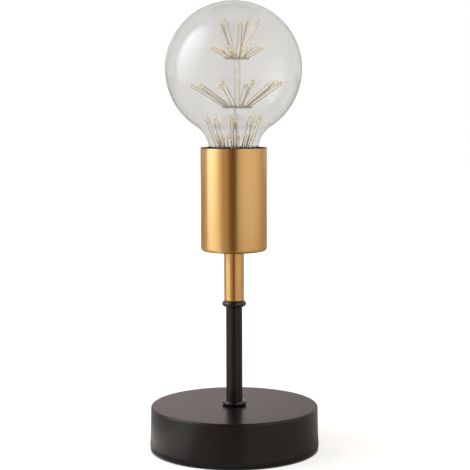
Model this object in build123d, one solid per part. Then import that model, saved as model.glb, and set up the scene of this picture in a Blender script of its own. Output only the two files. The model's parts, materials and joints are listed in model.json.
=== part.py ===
from build123d import *
import os
from math import atan2, cos, degrees, hypot, radians, sin, sqrt

# Desk lamp: a weighted round base, a thin stem, a brass lampholder cup and a clear globe bulb with an LED tree.
# Millimetres, +Z up. The origin is on the table, under the middle of the base. The front is towards -Y.

# Base cover, drawn from sheet
base_height = 31.3
base_foot_diameter = 119.2
base_top_diameter = 118.2
base_edge_radius = 2.2
base_wall = 1.2
base_rim_lift = 1.0

# Pad and bottom plate
pad_thickness = 2.0
pad_width = 10.0
pad_edge_inset = 3.0
plate_thickness = 1.0
plate_clearance = 0.4

# Cast weight with its bosses
weight_edge_gap = 5.9
weight_thickness = 12.0
weight_edge_radius = 1.5
boss_diameter = 12.0
boss_count = 3
boss_first_angle = -90.0

# Screws of the bottom plate
plate_screw_diameter = 4.0
plate_screw_grip = 9.0
plate_screw_head_diameter = 7.6
plate_screw_head_height = 1.5
plate_screw_slot_width = 1.0
plate_screw_slot_depth = 0.6
plate_screw_pad_gap = 3.2
screw_thread_clearance = 0.05
screw_hole_clearance = 0.3

# Cord inlet bush in the rear wall
inlet_height = 10.5
inlet_bore_diameter = 6.4
inlet_bush_wall = 1.2
inlet_flange_proud = 1.8
inlet_flange_thickness = 1.5
inlet_flange_edge_radius = 0.8
inlet_barb_proud = 0.5
inlet_barb_length = 2.0
inlet_hole_clearance = 0.1
inlet_wall_gap = 0.05

# Terminal block under the weight
block_width = 24.0
block_depth = 13.0
block_height = 10.0
block_distance = 30.0
block_edge_radius = 1.0
pole_spacing = 13.0
wire_hole_diameter = 3.4
terminal_screw_diameter = 3.0
terminal_screw_length = 2.6
terminal_screw_spacing = 6.0
block_screw_diameter = 3.0
block_screw_grip = 6.0
block_screw_head_diameter = 5.6
block_screw_head_height = 2.0

# Threaded ends of the stem, the nipple and their fasteners
thread_diameter = 9.9
thread_clearance = 0.05
thread_hole_clearance = 0.25
wire_bore_diameter = 7.6
thread_past_nut = 1.5
thread_in_brass_tube = 10.0
stem_washer_diameter = 24.0
stem_washer_thickness = 1.2
nut_width = 15.0
nut_thickness = 4.0

# Stem and its bead rings
stem_diameter = 11.1
stem_length = 67.5
lower_bead_diameter = 16.4
lower_bead_height = 3.0
upper_bead_diameter = 16.45
upper_bead_height = 4.3
bead_flat_height = 0.1

# Brass tube and cup
brass_tube_diameter = 13.75
brass_tube_length = 35.2
brass_tube_edge_radius = 0.6
cup_holder_gap = 2.35
cup_height = 72.5
cup_wall = 1.0
cup_corner_radius = 2.4
cup_rim_radius = 0.45
nipple_grip = 12.0
cup_washer_diameter = 22.0
cup_washer_thickness = 1.0

# Lampholder
holder_wall = 2.1
holder_neck_diameter = 16.0
holder_neck_height = 3.2
holder_flare_height = 6.0
holder_flare_radius = 4.0
holder_entry_height = 6.7
nipple_past_entry = 0.8
holder_dome_height = 20.7
holder_ledge = 2.0
holder_cavity_taper = 4.0
insert_thickness = 9.0
insert_clearance = 0.2
insert_seat_depth = 3.0
skirt_height = 31.5
skirt_lip_height = 5.0
skirt_lip_width = 5.3
skirt_edge_radius = 1.2
shell_cap_clearance = 0.3
shell_wall = 0.5
shell_height = 23.5
shell_lip_clearance = 0.3
tab_thickness = 0.6
tab_width = 6.0
tab_length = 4.45
tab_shell_gap = 0.7
rivet_diameter = 3.0
rivet_head_diameter = 4.6
rivet_head_height = 0.8
rivet_clearance = 0.1
post_width = 6.0
post_height = 5.5

# Springy centre contact
contact_height = 3.0
contact_thickness = 0.5
contact_width = 5.0
contact_root_gap = 0.35
contact_root_lift = 0.35
contact_flat_half_length = 3.2
contact_end_length = 1.4
contact_end_drop = 0.5
contact_bend_radius = 0.8

# Inner wires
wire_diameter = 2.2
wire_spread = 1.5
wire_floor_gap = 2.0
wire_end_in_block = 3.0
wire_run_from_block = 7.0
wire_run_under_stem = 9.0
wire_bend_radius = 4.0
wire_turn_up_radius = 5.0
wire_post_drop = 3.0

# Bulb: screw cap, glass and electronics
tip_diameter = 9.6
tip_flat_diameter = 4.4
tip_height = 1.6
insulator_height = 4.9
insulator_foot_diameter = 11.6
insulator_top_inset = 0.3
insulator_rim_height = 0.4
cap_diameter = 26.4
cap_wall = 0.5
cap_height = 21.5
cap_foot_inset = 0.9
cap_taper_height = 1.5
cap_seat_width = 1.0
globe_diameter = 95.0
glass_wall = 0.9
neck_diameter = 34.6
neck_length = 7.5
neck_blend_radius = 19.0
glass_seat_clearance = 0.3
glass_in_cap = 5.0
driver_width = 17.0
driver_thickness = 1.2
driver_height = 15.5
capacitor_diameter = 6.3
capacitor_height = 9.0
capacitor_lift = 2.0
capacitor_gap = 0.1
cap_lead_diameter = 0.8
cap_lead_clearance = 0.2
cap_lead_drop = 2.0

# LED tree
tree_offset = 2.6
stem_offset = 0.9
neck_offset = 0.3
board_thickness = 1.2
neck_board_diameter = 17.4
middle_board_diameter = 20.9
upper_board_diameter = 17.2
stem_glass_diameter = 3.6
support_rod_diameter = 0.9
support_rod_grip = 6.0
support_rod_clearance = 0.05
support_rod_free_length = 7.8
tree_post_diameter = 4.2
tree_post_bore = 3.0
middle_board_drop = 27.3
upper_board_lift = 6.6

# One LED with its two wires
led_height = 5.3
led_diameter = 3.0
led_flange_diameter = 3.6
led_flange_height = 1.0
led_nose_height = 1.3
led_nose_diameter = 1.5
led_sides = 8
lead_width = 0.5
lead_pitch = 2.54
lead_turn = 40.0

# Rings of LEDs on the three boards: how many, where they stand and how far their tips reach.
# The wires are bent by hand, so the tips of a ring may lean sideways as a group.
upper_steep_count = 5
upper_steep_root_radius = 2.8
upper_steep_tip_radius = 14.6
upper_steep_rise = 27.1
upper_steep_lean = 0.8
upper_steep_first_angle = 10.0
upper_shallow_count = 6
upper_shallow_root_radius = 6.4
upper_shallow_tip_radius = 19.8
upper_shallow_rise = 7.8
upper_shallow_lean = 0.0
upper_shallow_first_angle = 10.0
middle_count = 10
middle_root_radius = 7.7
middle_tip_radius = 34.0
middle_rise = 17.1
middle_lean = -1.8
middle_first_angle = 3.0
lower_long_count = 8
lower_long_root_radius = 6.0
lower_long_tip_radius = 19.6
lower_long_rise = 36.8
lower_long_lean = -0.6
lower_long_first_angle = 4.0
lower_short_count = 6
lower_short_root_radius = 3.4
lower_short_tip_radius = 11.9
lower_short_rise = 24.3
lower_short_lean = -0.6
lower_short_first_angle = 13.5

# Heights that follow from the sizes above, from the table upwards
plate_top = pad_thickness + plate_thickness
weight_top = base_height - base_wall
weight_bottom = weight_top - weight_thickness
stem_washer_bottom = weight_bottom - stem_washer_thickness
stem_nut_bottom = stem_washer_bottom - nut_thickness
stem_thread_bottom = stem_nut_bottom - thread_past_nut
stem_bottom = base_height + lower_bead_height
stem_top = stem_bottom + stem_length
brass_tube_bottom = stem_top + upper_bead_height
cup_bottom = brass_tube_bottom + brass_tube_length
cup_floor = cup_bottom + cup_wall
cup_top = cup_bottom + cup_height
cup_nut_bottom = cup_floor + cup_washer_thickness
holder_bottom = cup_nut_bottom + nut_thickness
entry_top = holder_bottom + holder_entry_height
skirt_bottom = holder_bottom + holder_dome_height
skirt_top = skirt_bottom + skirt_height
insert_bottom = skirt_bottom - insert_seat_depth
insert_top = insert_bottom + insert_thickness
tip_bottom = insert_top + contact_height
insulator_bottom = tip_bottom + tip_height
cap_bottom = insulator_bottom + insulator_height
cap_top = cap_bottom + cap_height
neck_top = cap_top + neck_length
blend_reach = neck_diameter / 2 + neck_blend_radius
globe_centre = neck_top + sqrt((globe_diameter / 2 + neck_blend_radius) ** 2 - blend_reach**2)
globe_top = globe_centre + globe_diameter / 2
neck_board_bottom = cap_bottom + driver_height
neck_board_top = neck_board_bottom + board_thickness
middle_board_bottom = globe_centre - middle_board_drop
middle_board_top = middle_board_bottom + board_thickness
stem_glass_top = middle_board_bottom - support_rod_free_length
upper_board_bottom = globe_centre + upper_board_lift
upper_board_top = upper_board_bottom + board_thickness

# Radii and places that several pieces share
thread_radius = thread_diameter / 2
thread_bore_radius = thread_radius + thread_clearance
thread_hole_radius = thread_radius + thread_hole_clearance
wire_bore_radius = wire_bore_diameter / 2
cap_radius = cap_diameter / 2
cap_foot_radius = cap_radius - cap_foot_inset
insulator_top_radius = cap_foot_radius - insulator_top_inset
cap_hole_radius = insulator_top_radius - cap_seat_width
glass_seat_radius = cap_radius - cap_wall - glass_seat_clearance
shell_bore_radius = cap_radius + shell_cap_clearance
shell_outer_radius = shell_bore_radius + shell_wall
skirt_lip_radius = shell_outer_radius + shell_lip_clearance
holder_radius = skirt_lip_radius + skirt_lip_width
insert_seat_radius = holder_radius - holder_wall
insert_radius = insert_seat_radius - insert_clearance
holder_cavity_radius = insert_seat_radius - holder_ledge
cup_inner_radius = holder_radius + cup_holder_gap
cup_radius = cup_inner_radius + cup_wall
tab_outer_x = shell_bore_radius - tab_shell_gap
tab_inner_x = tab_outer_x - tab_length
rivet_distance = tab_outer_x - rivet_head_diameter / 2
contact_root_x = contact_root_gap - tab_inner_x
inlet_shank_radius = inlet_bore_diameter / 2 + inlet_bush_wall
block_wire_height = weight_bottom - block_height / 2
block_front = block_distance - block_depth / 2


def turned(*corners):
    """Solid of revolution about Z through corners of (radius, height) or (radius, height, rounding)."""
    points = [corner[:2] for corner in corners]
    roundings = [corner[2] if len(corner) > 2 else 0 for corner in corners]
    outline = FilletPolyline(*points, radius=roundings, close=True)
    return revolve(Plane.XZ * make_face(outline), Axis.Z)


def rod(radius, bottom, top):
    """Round bar on the Z axis."""
    return extrude(Plane.XY.offset(bottom) * Circle(radius), top - bottom)


def washer(diameter, bottom, thickness):
    """Flat ring round a thread."""
    return turned(
        (thread_hole_radius, bottom),
        (diameter / 2, bottom),
        (diameter / 2, bottom + thickness),
        (thread_hole_radius, bottom + thickness),
    )


def nut(bottom):
    """Thin hexagon nut on a thread."""
    hexagon = RegularPolygon(nut_width / 2, 6, major_radius=False)
    blank = extrude(Plane.XY.offset(bottom) * hexagon, nut_thickness)
    return blank - rod(thread_bore_radius, bottom, bottom + nut_thickness)


def base_outer_radius(height):
    """Radius of the cover's tapered side at a height."""
    share = (height - base_rim_lift) / (base_height - base_rim_lift)
    return (base_foot_diameter + share * (base_top_diameter - base_foot_diameter)) / 2


def inlet_place():
    """Frame on the rear wall at the inlet's height, with Z straight out of the wall."""
    lean = atan2(base_foot_diameter - base_top_diameter, 2 * (base_height - base_rim_lift))
    origin = (0, base_outer_radius(inlet_height), inlet_height)
    return Plane(origin, x_dir=(1, 0, 0), z_dir=(0, cos(lean), sin(lean))).location


def base_cover():
    """Tapered cover with a rounded top edge, a hole for the stem and one for the cord inlet."""
    foot = base_foot_diameter / 2
    top = base_top_diameter / 2
    shell = turned(
        (thread_hole_radius, base_height),
        (top, base_height, base_edge_radius),
        (foot, base_rim_lift),
        (foot - base_wall, base_rim_lift),
        (top - base_wall, weight_top, max(base_edge_radius - base_wall, 0)),
        (thread_hole_radius, weight_top),
    )
    hole = rod(inlet_shank_radius + inlet_hole_clearance, -3 * base_wall, 3 * base_wall)
    return shell - inlet_place() * hole


def plate_radius():
    """Radius of the bottom plate, just inside the cover."""
    return base_outer_radius(plate_top) - base_wall - plate_clearance


def pad_inner_radius():
    """Inner radius of the pad's ring."""
    return plate_radius() - pad_edge_inset - pad_width


def foot_pad():
    """Flat ring that the lamp stands on."""
    inner = pad_inner_radius()
    return turned(
        (inner, 0),
        (inner + pad_width, 0),
        (inner + pad_width, pad_thickness),
        (inner, pad_thickness),
    )


def on_bosses(shape):
    """Copies of a shape at the weight's bosses."""
    distance = pad_inner_radius() - plate_screw_pad_gap - plate_screw_head_diameter / 2
    spots = PolarLocations(distance, boss_count, boss_first_angle)
    return [spot * shape for spot in spots]


def base_plate():
    """Bottom plate with a hole for each screw."""
    hole = rod(plate_screw_diameter / 2 + screw_hole_clearance, 0, plate_top)
    return rod(plate_radius(), pad_thickness, plate_top) - on_bosses(hole)


def plate_screws():
    """Slotted pan-head screws from the plate into the bosses."""
    head_bottom = pad_thickness - plate_screw_head_height
    head_radius = plate_screw_head_diameter / 2
    screw = turned(
        (0, head_bottom),
        (head_radius, head_bottom, plate_screw_head_height / 2),
        (head_radius, pad_thickness),
        (plate_screw_diameter / 2, pad_thickness),
        (plate_screw_diameter / 2, plate_top + plate_screw_grip),
        (0, plate_top + plate_screw_grip),
    )
    slot = Box(plate_screw_head_diameter, plate_screw_slot_width, 2 * plate_screw_slot_depth)
    return Compound(on_bosses(screw - Pos(0, 0, head_bottom) * slot))


def base_weight():
    """Cast disc that fills the top of the cover, with bosses down to the bottom plate."""
    narrowest = min(base_outer_radius(weight_bottom), base_outer_radius(weight_top))
    radius = narrowest - base_wall - weight_edge_gap
    disc = turned(
        (thread_hole_radius, weight_bottom),
        (radius, weight_bottom, weight_edge_radius),
        (radius, weight_top, weight_edge_radius),
        (thread_hole_radius, weight_top),
    )
    boss = rod(boss_diameter / 2, plate_top, weight_bottom + weight_edge_radius)
    screw_hole = rod(plate_screw_diameter / 2 + screw_thread_clearance, 0, plate_top + plate_screw_grip + 1)
    block_hole = rod(
        block_screw_diameter / 2 + screw_thread_clearance, 0, weight_bottom + block_screw_grip + 1
    )
    return disc + on_bosses(boss) - on_bosses(screw_hole) - Pos(0, block_distance, 0) * block_hole


def cord_inlet():
    """Barbed bush in the rear wall, with a rounded flange outside."""
    bore = inlet_bore_diameter / 2
    shank = inlet_shank_radius
    barb = shank + inlet_barb_proud
    flange = shank + inlet_flange_proud
    wall_inside = base_outer_radius(inlet_height) - base_wall
    bow = wall_inside - sqrt(wall_inside**2 - barb**2)
    barb_back = -base_wall - bow - inlet_wall_gap
    flange_top = inlet_wall_gap + inlet_flange_thickness
    bush = turned(
        (bore, barb_back - inlet_barb_length),
        (shank, barb_back - inlet_barb_length),
        (barb, barb_back),
        (shank, barb_back),
        (shank, inlet_wall_gap),
        (flange, inlet_wall_gap),
        (flange, flange_top, inlet_flange_edge_radius),
        (bore, flange_top),
    )
    return inlet_place() * bush


def pole_places():
    """Middle of each pole of the terminal block."""
    return [Pos(side * pole_spacing / 2, block_distance, 0) for side in (-1, 1)]


def screw_places():
    """Places of the four terminal screws."""
    shifts = [Pos(0, side * terminal_screw_spacing / 2, 0) for side in (-1, 1)]
    return [pole * shift for pole in pole_places() for shift in shifts]


def terminal_block():
    """Two-pole block with a through hole for each pole's wires and holes for its screws."""
    body = Pos(0, block_distance, block_wire_height) * Box(block_width, block_depth, block_height)
    body = fillet(body.edges().filter_by(Axis.Z), block_edge_radius)
    block_bottom = weight_bottom - block_height
    tunnel = Pos(0, 0, block_wire_height) * Rot(X=90) * Cylinder(wire_hole_diameter / 2, 2 * block_depth)
    screw_hole = rod(
        terminal_screw_diameter / 2 + screw_thread_clearance, block_bottom, block_wire_height
    )
    fixing = rod(block_screw_diameter / 2 + screw_hole_clearance, block_bottom, weight_bottom)
    sink = rod(
        block_screw_head_diameter / 2 + screw_hole_clearance,
        block_bottom,
        block_bottom + block_screw_head_height,
    )
    body -= [place * tunnel for place in pole_places()]
    body -= [place * screw_hole for place in screw_places()]
    return body - Pos(0, block_distance, 0) * (fixing + sink)


def terminal_screws():
    """Four slotted grub screws, one at each end of each pole."""
    block_bottom = weight_bottom - block_height
    radius = terminal_screw_diameter / 2
    grub = rod(radius, block_bottom, block_bottom + terminal_screw_length)
    slot = Pos(0, 0, block_bottom) * Box(terminal_screw_diameter, radius / 2, radius)
    return Compound([place * (grub - slot) for place in screw_places()])


def block_screw():
    """Cheese-head screw from the block into the weight."""
    head_bottom = weight_bottom - block_height
    head_top = head_bottom + block_screw_head_height
    screw = rod(block_screw_head_diameter / 2, head_bottom, head_top)
    screw += rod(block_screw_diameter / 2, head_bottom, weight_bottom + block_screw_grip)
    slot = Pos(0, 0, head_bottom) * Box(
        block_screw_head_diameter, plate_screw_slot_width, 2 * plate_screw_slot_depth
    )
    return Pos(0, block_distance, 0) * (screw - slot)


def bead(diameter, bottom, height):
    """Half-round ring on a threaded end."""
    rounding = (height - bead_flat_height) / 2
    return turned(
        (thread_hole_radius, bottom),
        (diameter / 2, bottom, rounding),
        (diameter / 2, bottom + height, rounding),
        (thread_hole_radius, bottom + height),
    )


def stem_tube():
    """Tube with a narrower threaded end at the bottom and at the top."""
    radius = stem_diameter / 2
    thread_top = brass_tube_bottom + thread_in_brass_tube
    return turned(
        (wire_bore_radius, stem_thread_bottom),
        (thread_radius, stem_thread_bottom),
        (thread_radius, stem_bottom),
        (radius, stem_bottom),
        (radius, stem_top),
        (thread_radius, stem_top),
        (thread_radius, thread_top),
        (wire_bore_radius, thread_top),
    )


def brass_tube():
    """Tube with a rounded lower edge, threaded inside at both ends."""
    radius = brass_tube_diameter / 2
    return turned(
        (thread_bore_radius, brass_tube_bottom),
        (radius, brass_tube_bottom, brass_tube_edge_radius),
        (radius, cup_bottom),
        (thread_bore_radius, cup_bottom),
    )


def holder_nipple():
    """Threaded tube from the brass tube through the cup's floor into the lampholder."""
    bottom = cup_bottom - nipple_grip
    top = entry_top + nipple_past_entry
    return rod(thread_radius, bottom, top) - rod(wire_bore_radius, bottom, top)


def socket_cup():
    """Spun cup with a rounded lower edge and an open top."""
    return turned(
        (thread_hole_radius, cup_bottom),
        (cup_radius, cup_bottom, cup_corner_radius),
        (cup_radius, cup_top, cup_rim_radius),
        (cup_inner_radius, cup_top, cup_rim_radius),
        (cup_inner_radius, cup_floor, max(cup_corner_radius - cup_wall, 0)),
        (thread_hole_radius, cup_floor),
    )


def holder_dome():
    """Lower half of the lampholder: threaded entry, flared shoulder and a cavity for the terminals."""
    neck = holder_neck_diameter / 2
    shoulder = holder_bottom + holder_neck_height
    return turned(
        (thread_bore_radius, holder_bottom),
        (neck, holder_bottom),
        (neck, shoulder),
        (holder_radius, shoulder + holder_flare_height, holder_flare_radius),
        (holder_radius, skirt_bottom),
        (insert_seat_radius, skirt_bottom),
        (insert_seat_radius, insert_bottom),
        (holder_cavity_radius, insert_bottom),
        (holder_cavity_radius, entry_top + holder_cavity_taper),
        (thread_bore_radius, entry_top),
    )


def rivet_places():
    """Places of the two rivets, the centre contact's at -X and the shell's at +X."""
    return [Pos(-rivet_distance, 0, 0), Pos(rivet_distance, 0, 0)]


def holder_insert():
    """Ceramic disc that carries the contacts, with a hole for each rivet."""
    disc = rod(insert_radius, insert_bottom, insert_top)
    hole = rod(rivet_diameter / 2 + rivet_clearance, insert_bottom, insert_top)
    return disc - [place * hole for place in rivet_places()]


def holder_posts():
    """Square terminals under the insert, one for each inner wire."""
    lift = insert_bottom - post_height / 2
    post = Pos(0, 0, lift) * Box(post_width, post_width, post_height)
    return Compound([place * post for place in rivet_places()])


def riveted_tab():
    """Flat tab on the insert with its rivet, on the +X side."""
    middle = (tab_inner_x + tab_outer_x) / 2
    plate = Box(tab_outer_x - tab_inner_x, tab_width, tab_thickness)
    tab = Pos(middle, 0, insert_top + tab_thickness / 2) * plate
    head_bottom = insert_top + tab_thickness
    rivet = rod(rivet_diameter / 2, insert_bottom, head_bottom)
    rivet += rod(rivet_head_diameter / 2, head_bottom, head_bottom + rivet_head_height)
    return tab + Pos(rivet_distance, 0, 0) * rivet


def contact_tab():
    """Fixed end of the centre contact."""
    return Rot(Z=180) * riveted_tab()


def screw_shell():
    """Metal shell that takes the bulb's cap, with its riveted foot."""
    bore = rod(shell_bore_radius, insert_top, insert_top + shell_height)
    shell = rod(shell_outer_radius, insert_top, insert_top + shell_height) - bore
    bridge_length = shell_outer_radius - tab_outer_x
    bridge = Pos(tab_outer_x + bridge_length / 2, 0, insert_top + tab_thickness / 2) * Box(
        bridge_length, tab_width, tab_thickness
    )
    foot = riveted_tab() + bridge
    return shell + (foot & rod(shell_outer_radius, insert_bottom, insert_top + shell_height))


def centre_contact():
    """Springy tongue under the bulb's tip, with a rolled root."""
    flat_height = tip_bottom - contact_thickness / 2
    root_height = insert_top + contact_root_lift
    path = FilletPolyline(
        (contact_root_x, 0, root_height),
        (-contact_flat_half_length, 0, flat_height),
        (contact_flat_half_length, 0, flat_height),
        (contact_flat_half_length + contact_end_length, 0, flat_height - contact_end_drop),
        radius=contact_bend_radius,
    )
    section = Plane(path @ 0, x_dir=(0, 1, 0), z_dir=path % 0) * Rectangle(contact_width, contact_thickness)
    roll = Rot(X=90) * Cylinder(contact_thickness / 2, contact_width)
    return sweep(section, path=path) + Pos(contact_root_x, 0, root_height) * roll


def holder_skirt():
    """Upper half of the lampholder, with a lip round the shell."""
    return turned(
        (insert_seat_radius, skirt_bottom),
        (holder_radius, skirt_bottom),
        (holder_radius, skirt_top, skirt_edge_radius),
        (skirt_lip_radius, skirt_top),
        (skirt_lip_radius, skirt_top - skirt_lip_height),
        (insert_seat_radius, skirt_top - skirt_lip_height),
    )


def inner_wire(side):
    """Insulated wire from the terminal block, up the stem, to a terminal of the lampholder."""
    low = plate_top + wire_floor_gap + wire_diameter / 2
    high = insert_bottom - wire_post_drop
    pole_x = side * pole_spacing / 2
    bore_x = side * wire_spread
    path = FilletPolyline(
        (pole_x, block_front + wire_end_in_block, block_wire_height),
        (pole_x, block_front - wire_run_from_block, block_wire_height),
        (bore_x, wire_run_under_stem, low),
        (bore_x, 0, low),
        (bore_x, 0, high),
        (side * (rivet_distance - post_width / 2), 0, high),
        radius=[wire_bend_radius, wire_bend_radius, wire_turn_up_radius, wire_bend_radius],
    )
    section = Plane(path @ 0, z_dir=path % 0) * Circle(wire_diameter / 2)
    return sweep(section, path=path)


def tip_contact():
    """Solder button at the bottom of the bulb, flat where it meets the centre contact."""
    return turned(
        (0, tip_bottom),
        (tip_flat_diameter / 2, tip_bottom),
        (tip_diameter / 2, insulator_bottom - tip_height / 3),
        (tip_diameter / 2, insulator_bottom),
        (0, insulator_bottom),
    )


def cap_insulator():
    """Black glass cone between the tip and the cap."""
    lead_hole = cap_lead_diameter / 2 + cap_lead_clearance
    return turned(
        (lead_hole, insulator_bottom),
        (insulator_foot_diameter / 2, insulator_bottom),
        (insulator_top_radius, cap_bottom - insulator_rim_height),
        (insulator_top_radius, cap_bottom),
        (lead_hole, cap_bottom),
    )


def bulb_cap():
    """Screw cap with a turned-in foot that sits on the insulator."""
    taper_top = cap_bottom + cap_taper_height
    return turned(
        (cap_hole_radius, cap_bottom),
        (cap_foot_radius, cap_bottom),
        (cap_radius, taper_top),
        (cap_radius, cap_top),
        (cap_radius - cap_wall, cap_top),
        (cap_radius - cap_wall, taper_top),
        (cap_foot_radius - cap_wall, cap_bottom + cap_wall),
        (cap_hole_radius, cap_bottom + cap_wall),
    )


def glass_outline(inset):
    """Edges of the glass from the seat in the cap to the top, moved inwards by the inset."""
    blend_angle = degrees(atan2(globe_centre - neck_top, blend_reach))
    seat = glass_seat_radius - inset
    throat = neck_diameter / 2 - inset
    return [
        Line((seat, cap_top - glass_in_cap), (seat, cap_top)),
        Line((seat, cap_top), (throat, neck_top)),
        CenterArc((blend_reach, neck_top), neck_blend_radius + inset, 180, -blend_angle),
        CenterArc((0, globe_centre), globe_diameter / 2 - inset, -blend_angle, 90 + blend_angle),
    ]


def bulb_glass():
    """Clear globe with a drawn-in neck, open where it sits in the cap."""
    foot = cap_top - glass_in_cap
    ends = [
        Line((glass_seat_radius - glass_wall, foot), (glass_seat_radius, foot)),
        Line((0, globe_top - glass_wall), (0, globe_top)),
    ]
    wall = make_face(glass_outline(0) + glass_outline(glass_wall) + ends)
    return revolve(Plane.XZ * wall, Axis.Z)


def driver_board():
    """Upright circuit board in the cap."""
    middle = cap_bottom + driver_height / 2
    return Pos(0, 0, middle) * Box(driver_width, driver_thickness, driver_height)


def driver_capacitor():
    """Round capacitor on the front of the driver board."""
    radius = capacitor_diameter / 2
    bottom = cap_bottom + capacitor_lift
    distance = driver_thickness / 2 + radius + capacitor_gap
    return Pos(0, -distance, 0) * rod(radius, bottom, bottom + capacitor_height)


def cap_leads():
    """Two short wires from the driver board, one to the tip and one to the side of the cap."""
    radius = cap_lead_diameter / 2
    tip_lead = rod(radius, insulator_bottom, cap_bottom)
    side_length = glass_seat_radius - glass_wall - driver_width / 2
    height = cap_top - glass_in_cap - cap_lead_drop
    side_lead = extrude(Plane.YZ.offset(driver_width / 2) * Pos(0, height) * Circle(radius), side_length)
    return Compound([tip_lead, side_lead])


def board(diameter, bottom, offset):
    """Round circuit board."""
    return Pos(offset, 0, 0) * rod(diameter / 2, bottom, bottom + board_thickness)


def stem_glass():
    """Glass stem with a rounded tip and a hole for the support rod."""
    radius = stem_glass_diameter / 2
    hole = support_rod_diameter / 2 + support_rod_clearance
    hole_bottom = stem_glass_top - support_rod_grip
    column = turned(
        (0, neck_board_top),
        (radius, neck_board_top),
        (radius, stem_glass_top, radius - hole),
        (0, stem_glass_top),
    )
    return Pos(stem_offset, 0, 0) * (column - rod(hole, hole_bottom, stem_glass_top))


def support_rod():
    """Wire from the glass stem to the middle board."""
    bottom = stem_glass_top - support_rod_grip
    return Pos(stem_offset, 0, 0) * rod(support_rod_diameter / 2, bottom, middle_board_bottom)


def tree_post():
    """Clear tube between the middle and the upper board."""
    tube = rod(tree_post_diameter / 2, middle_board_top, upper_board_bottom)
    return Pos(tree_offset, 0, 0) * (tube - rod(tree_post_bore / 2, middle_board_top, upper_board_bottom))


def led():
    """One bullet-shaped LED on the Z axis, standing on its flange."""
    body_top = led_height - led_nose_height
    flange = extrude(RegularPolygon(led_flange_diameter / 2, led_sides), led_flange_height)
    body = extrude(RegularPolygon(led_diameter / 2, led_sides), body_top)
    nose_foot = Plane.XY.offset(body_top) * RegularPolygon(led_diameter / 2, led_sides)
    nose_tip = Plane.XY.offset(led_height) * RegularPolygon(led_nose_diameter / 2, led_sides)
    return flange + body + loft([nose_foot.face(), nose_tip.face()], ruled=True)


def led_ring(board_top, offset, count, root_radius, tip_radius, rise, lean, first_angle):
    """LEDs and their wires, fanned out from a ring on a board."""
    reach = tip_radius - root_radius
    length = hypot(reach, rise)
    wire_length = length - led_height
    shape = led()
    leds = []
    leads = []
    for index in range(count):
        angle = radians(first_angle + index * 360 / count)
        outward = Vector(cos(angle), sin(angle), 0)
        along = (outward * reach + Vector(lean, 0, rise)).normalized()
        level = Vector(0, 0, 1).cross(along).normalized()
        sideways = level * cos(radians(lead_turn)) + along.cross(level) * sin(radians(lead_turn))
        root = Vector(offset, 0, board_top) + outward * root_radius
        seat = root + along * wire_length
        leds.append(Plane(seat, x_dir=sideways, z_dir=along).location * shape)
        for side in (-1, 1):
            start = seat + sideways * (side * lead_pitch / 2)
            section = Plane(start, x_dir=sideways, z_dir=-along) * Rectangle(lead_width, lead_width)
            lead = extrude(section, length)
            leads.append(split(lead, Plane.XY.offset(board_top), keep=Keep.TOP))
    return leds, leads


def add_tier(parts, name, *rings):
    """Adds the LEDs and the wires of one board's rings as two groups."""
    parts[name + "_leds"] = Compound([piece for leds, leads in rings for piece in leds])
    parts[name + "_leads"] = Compound([piece for leds, leads in rings for piece in leads])


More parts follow.
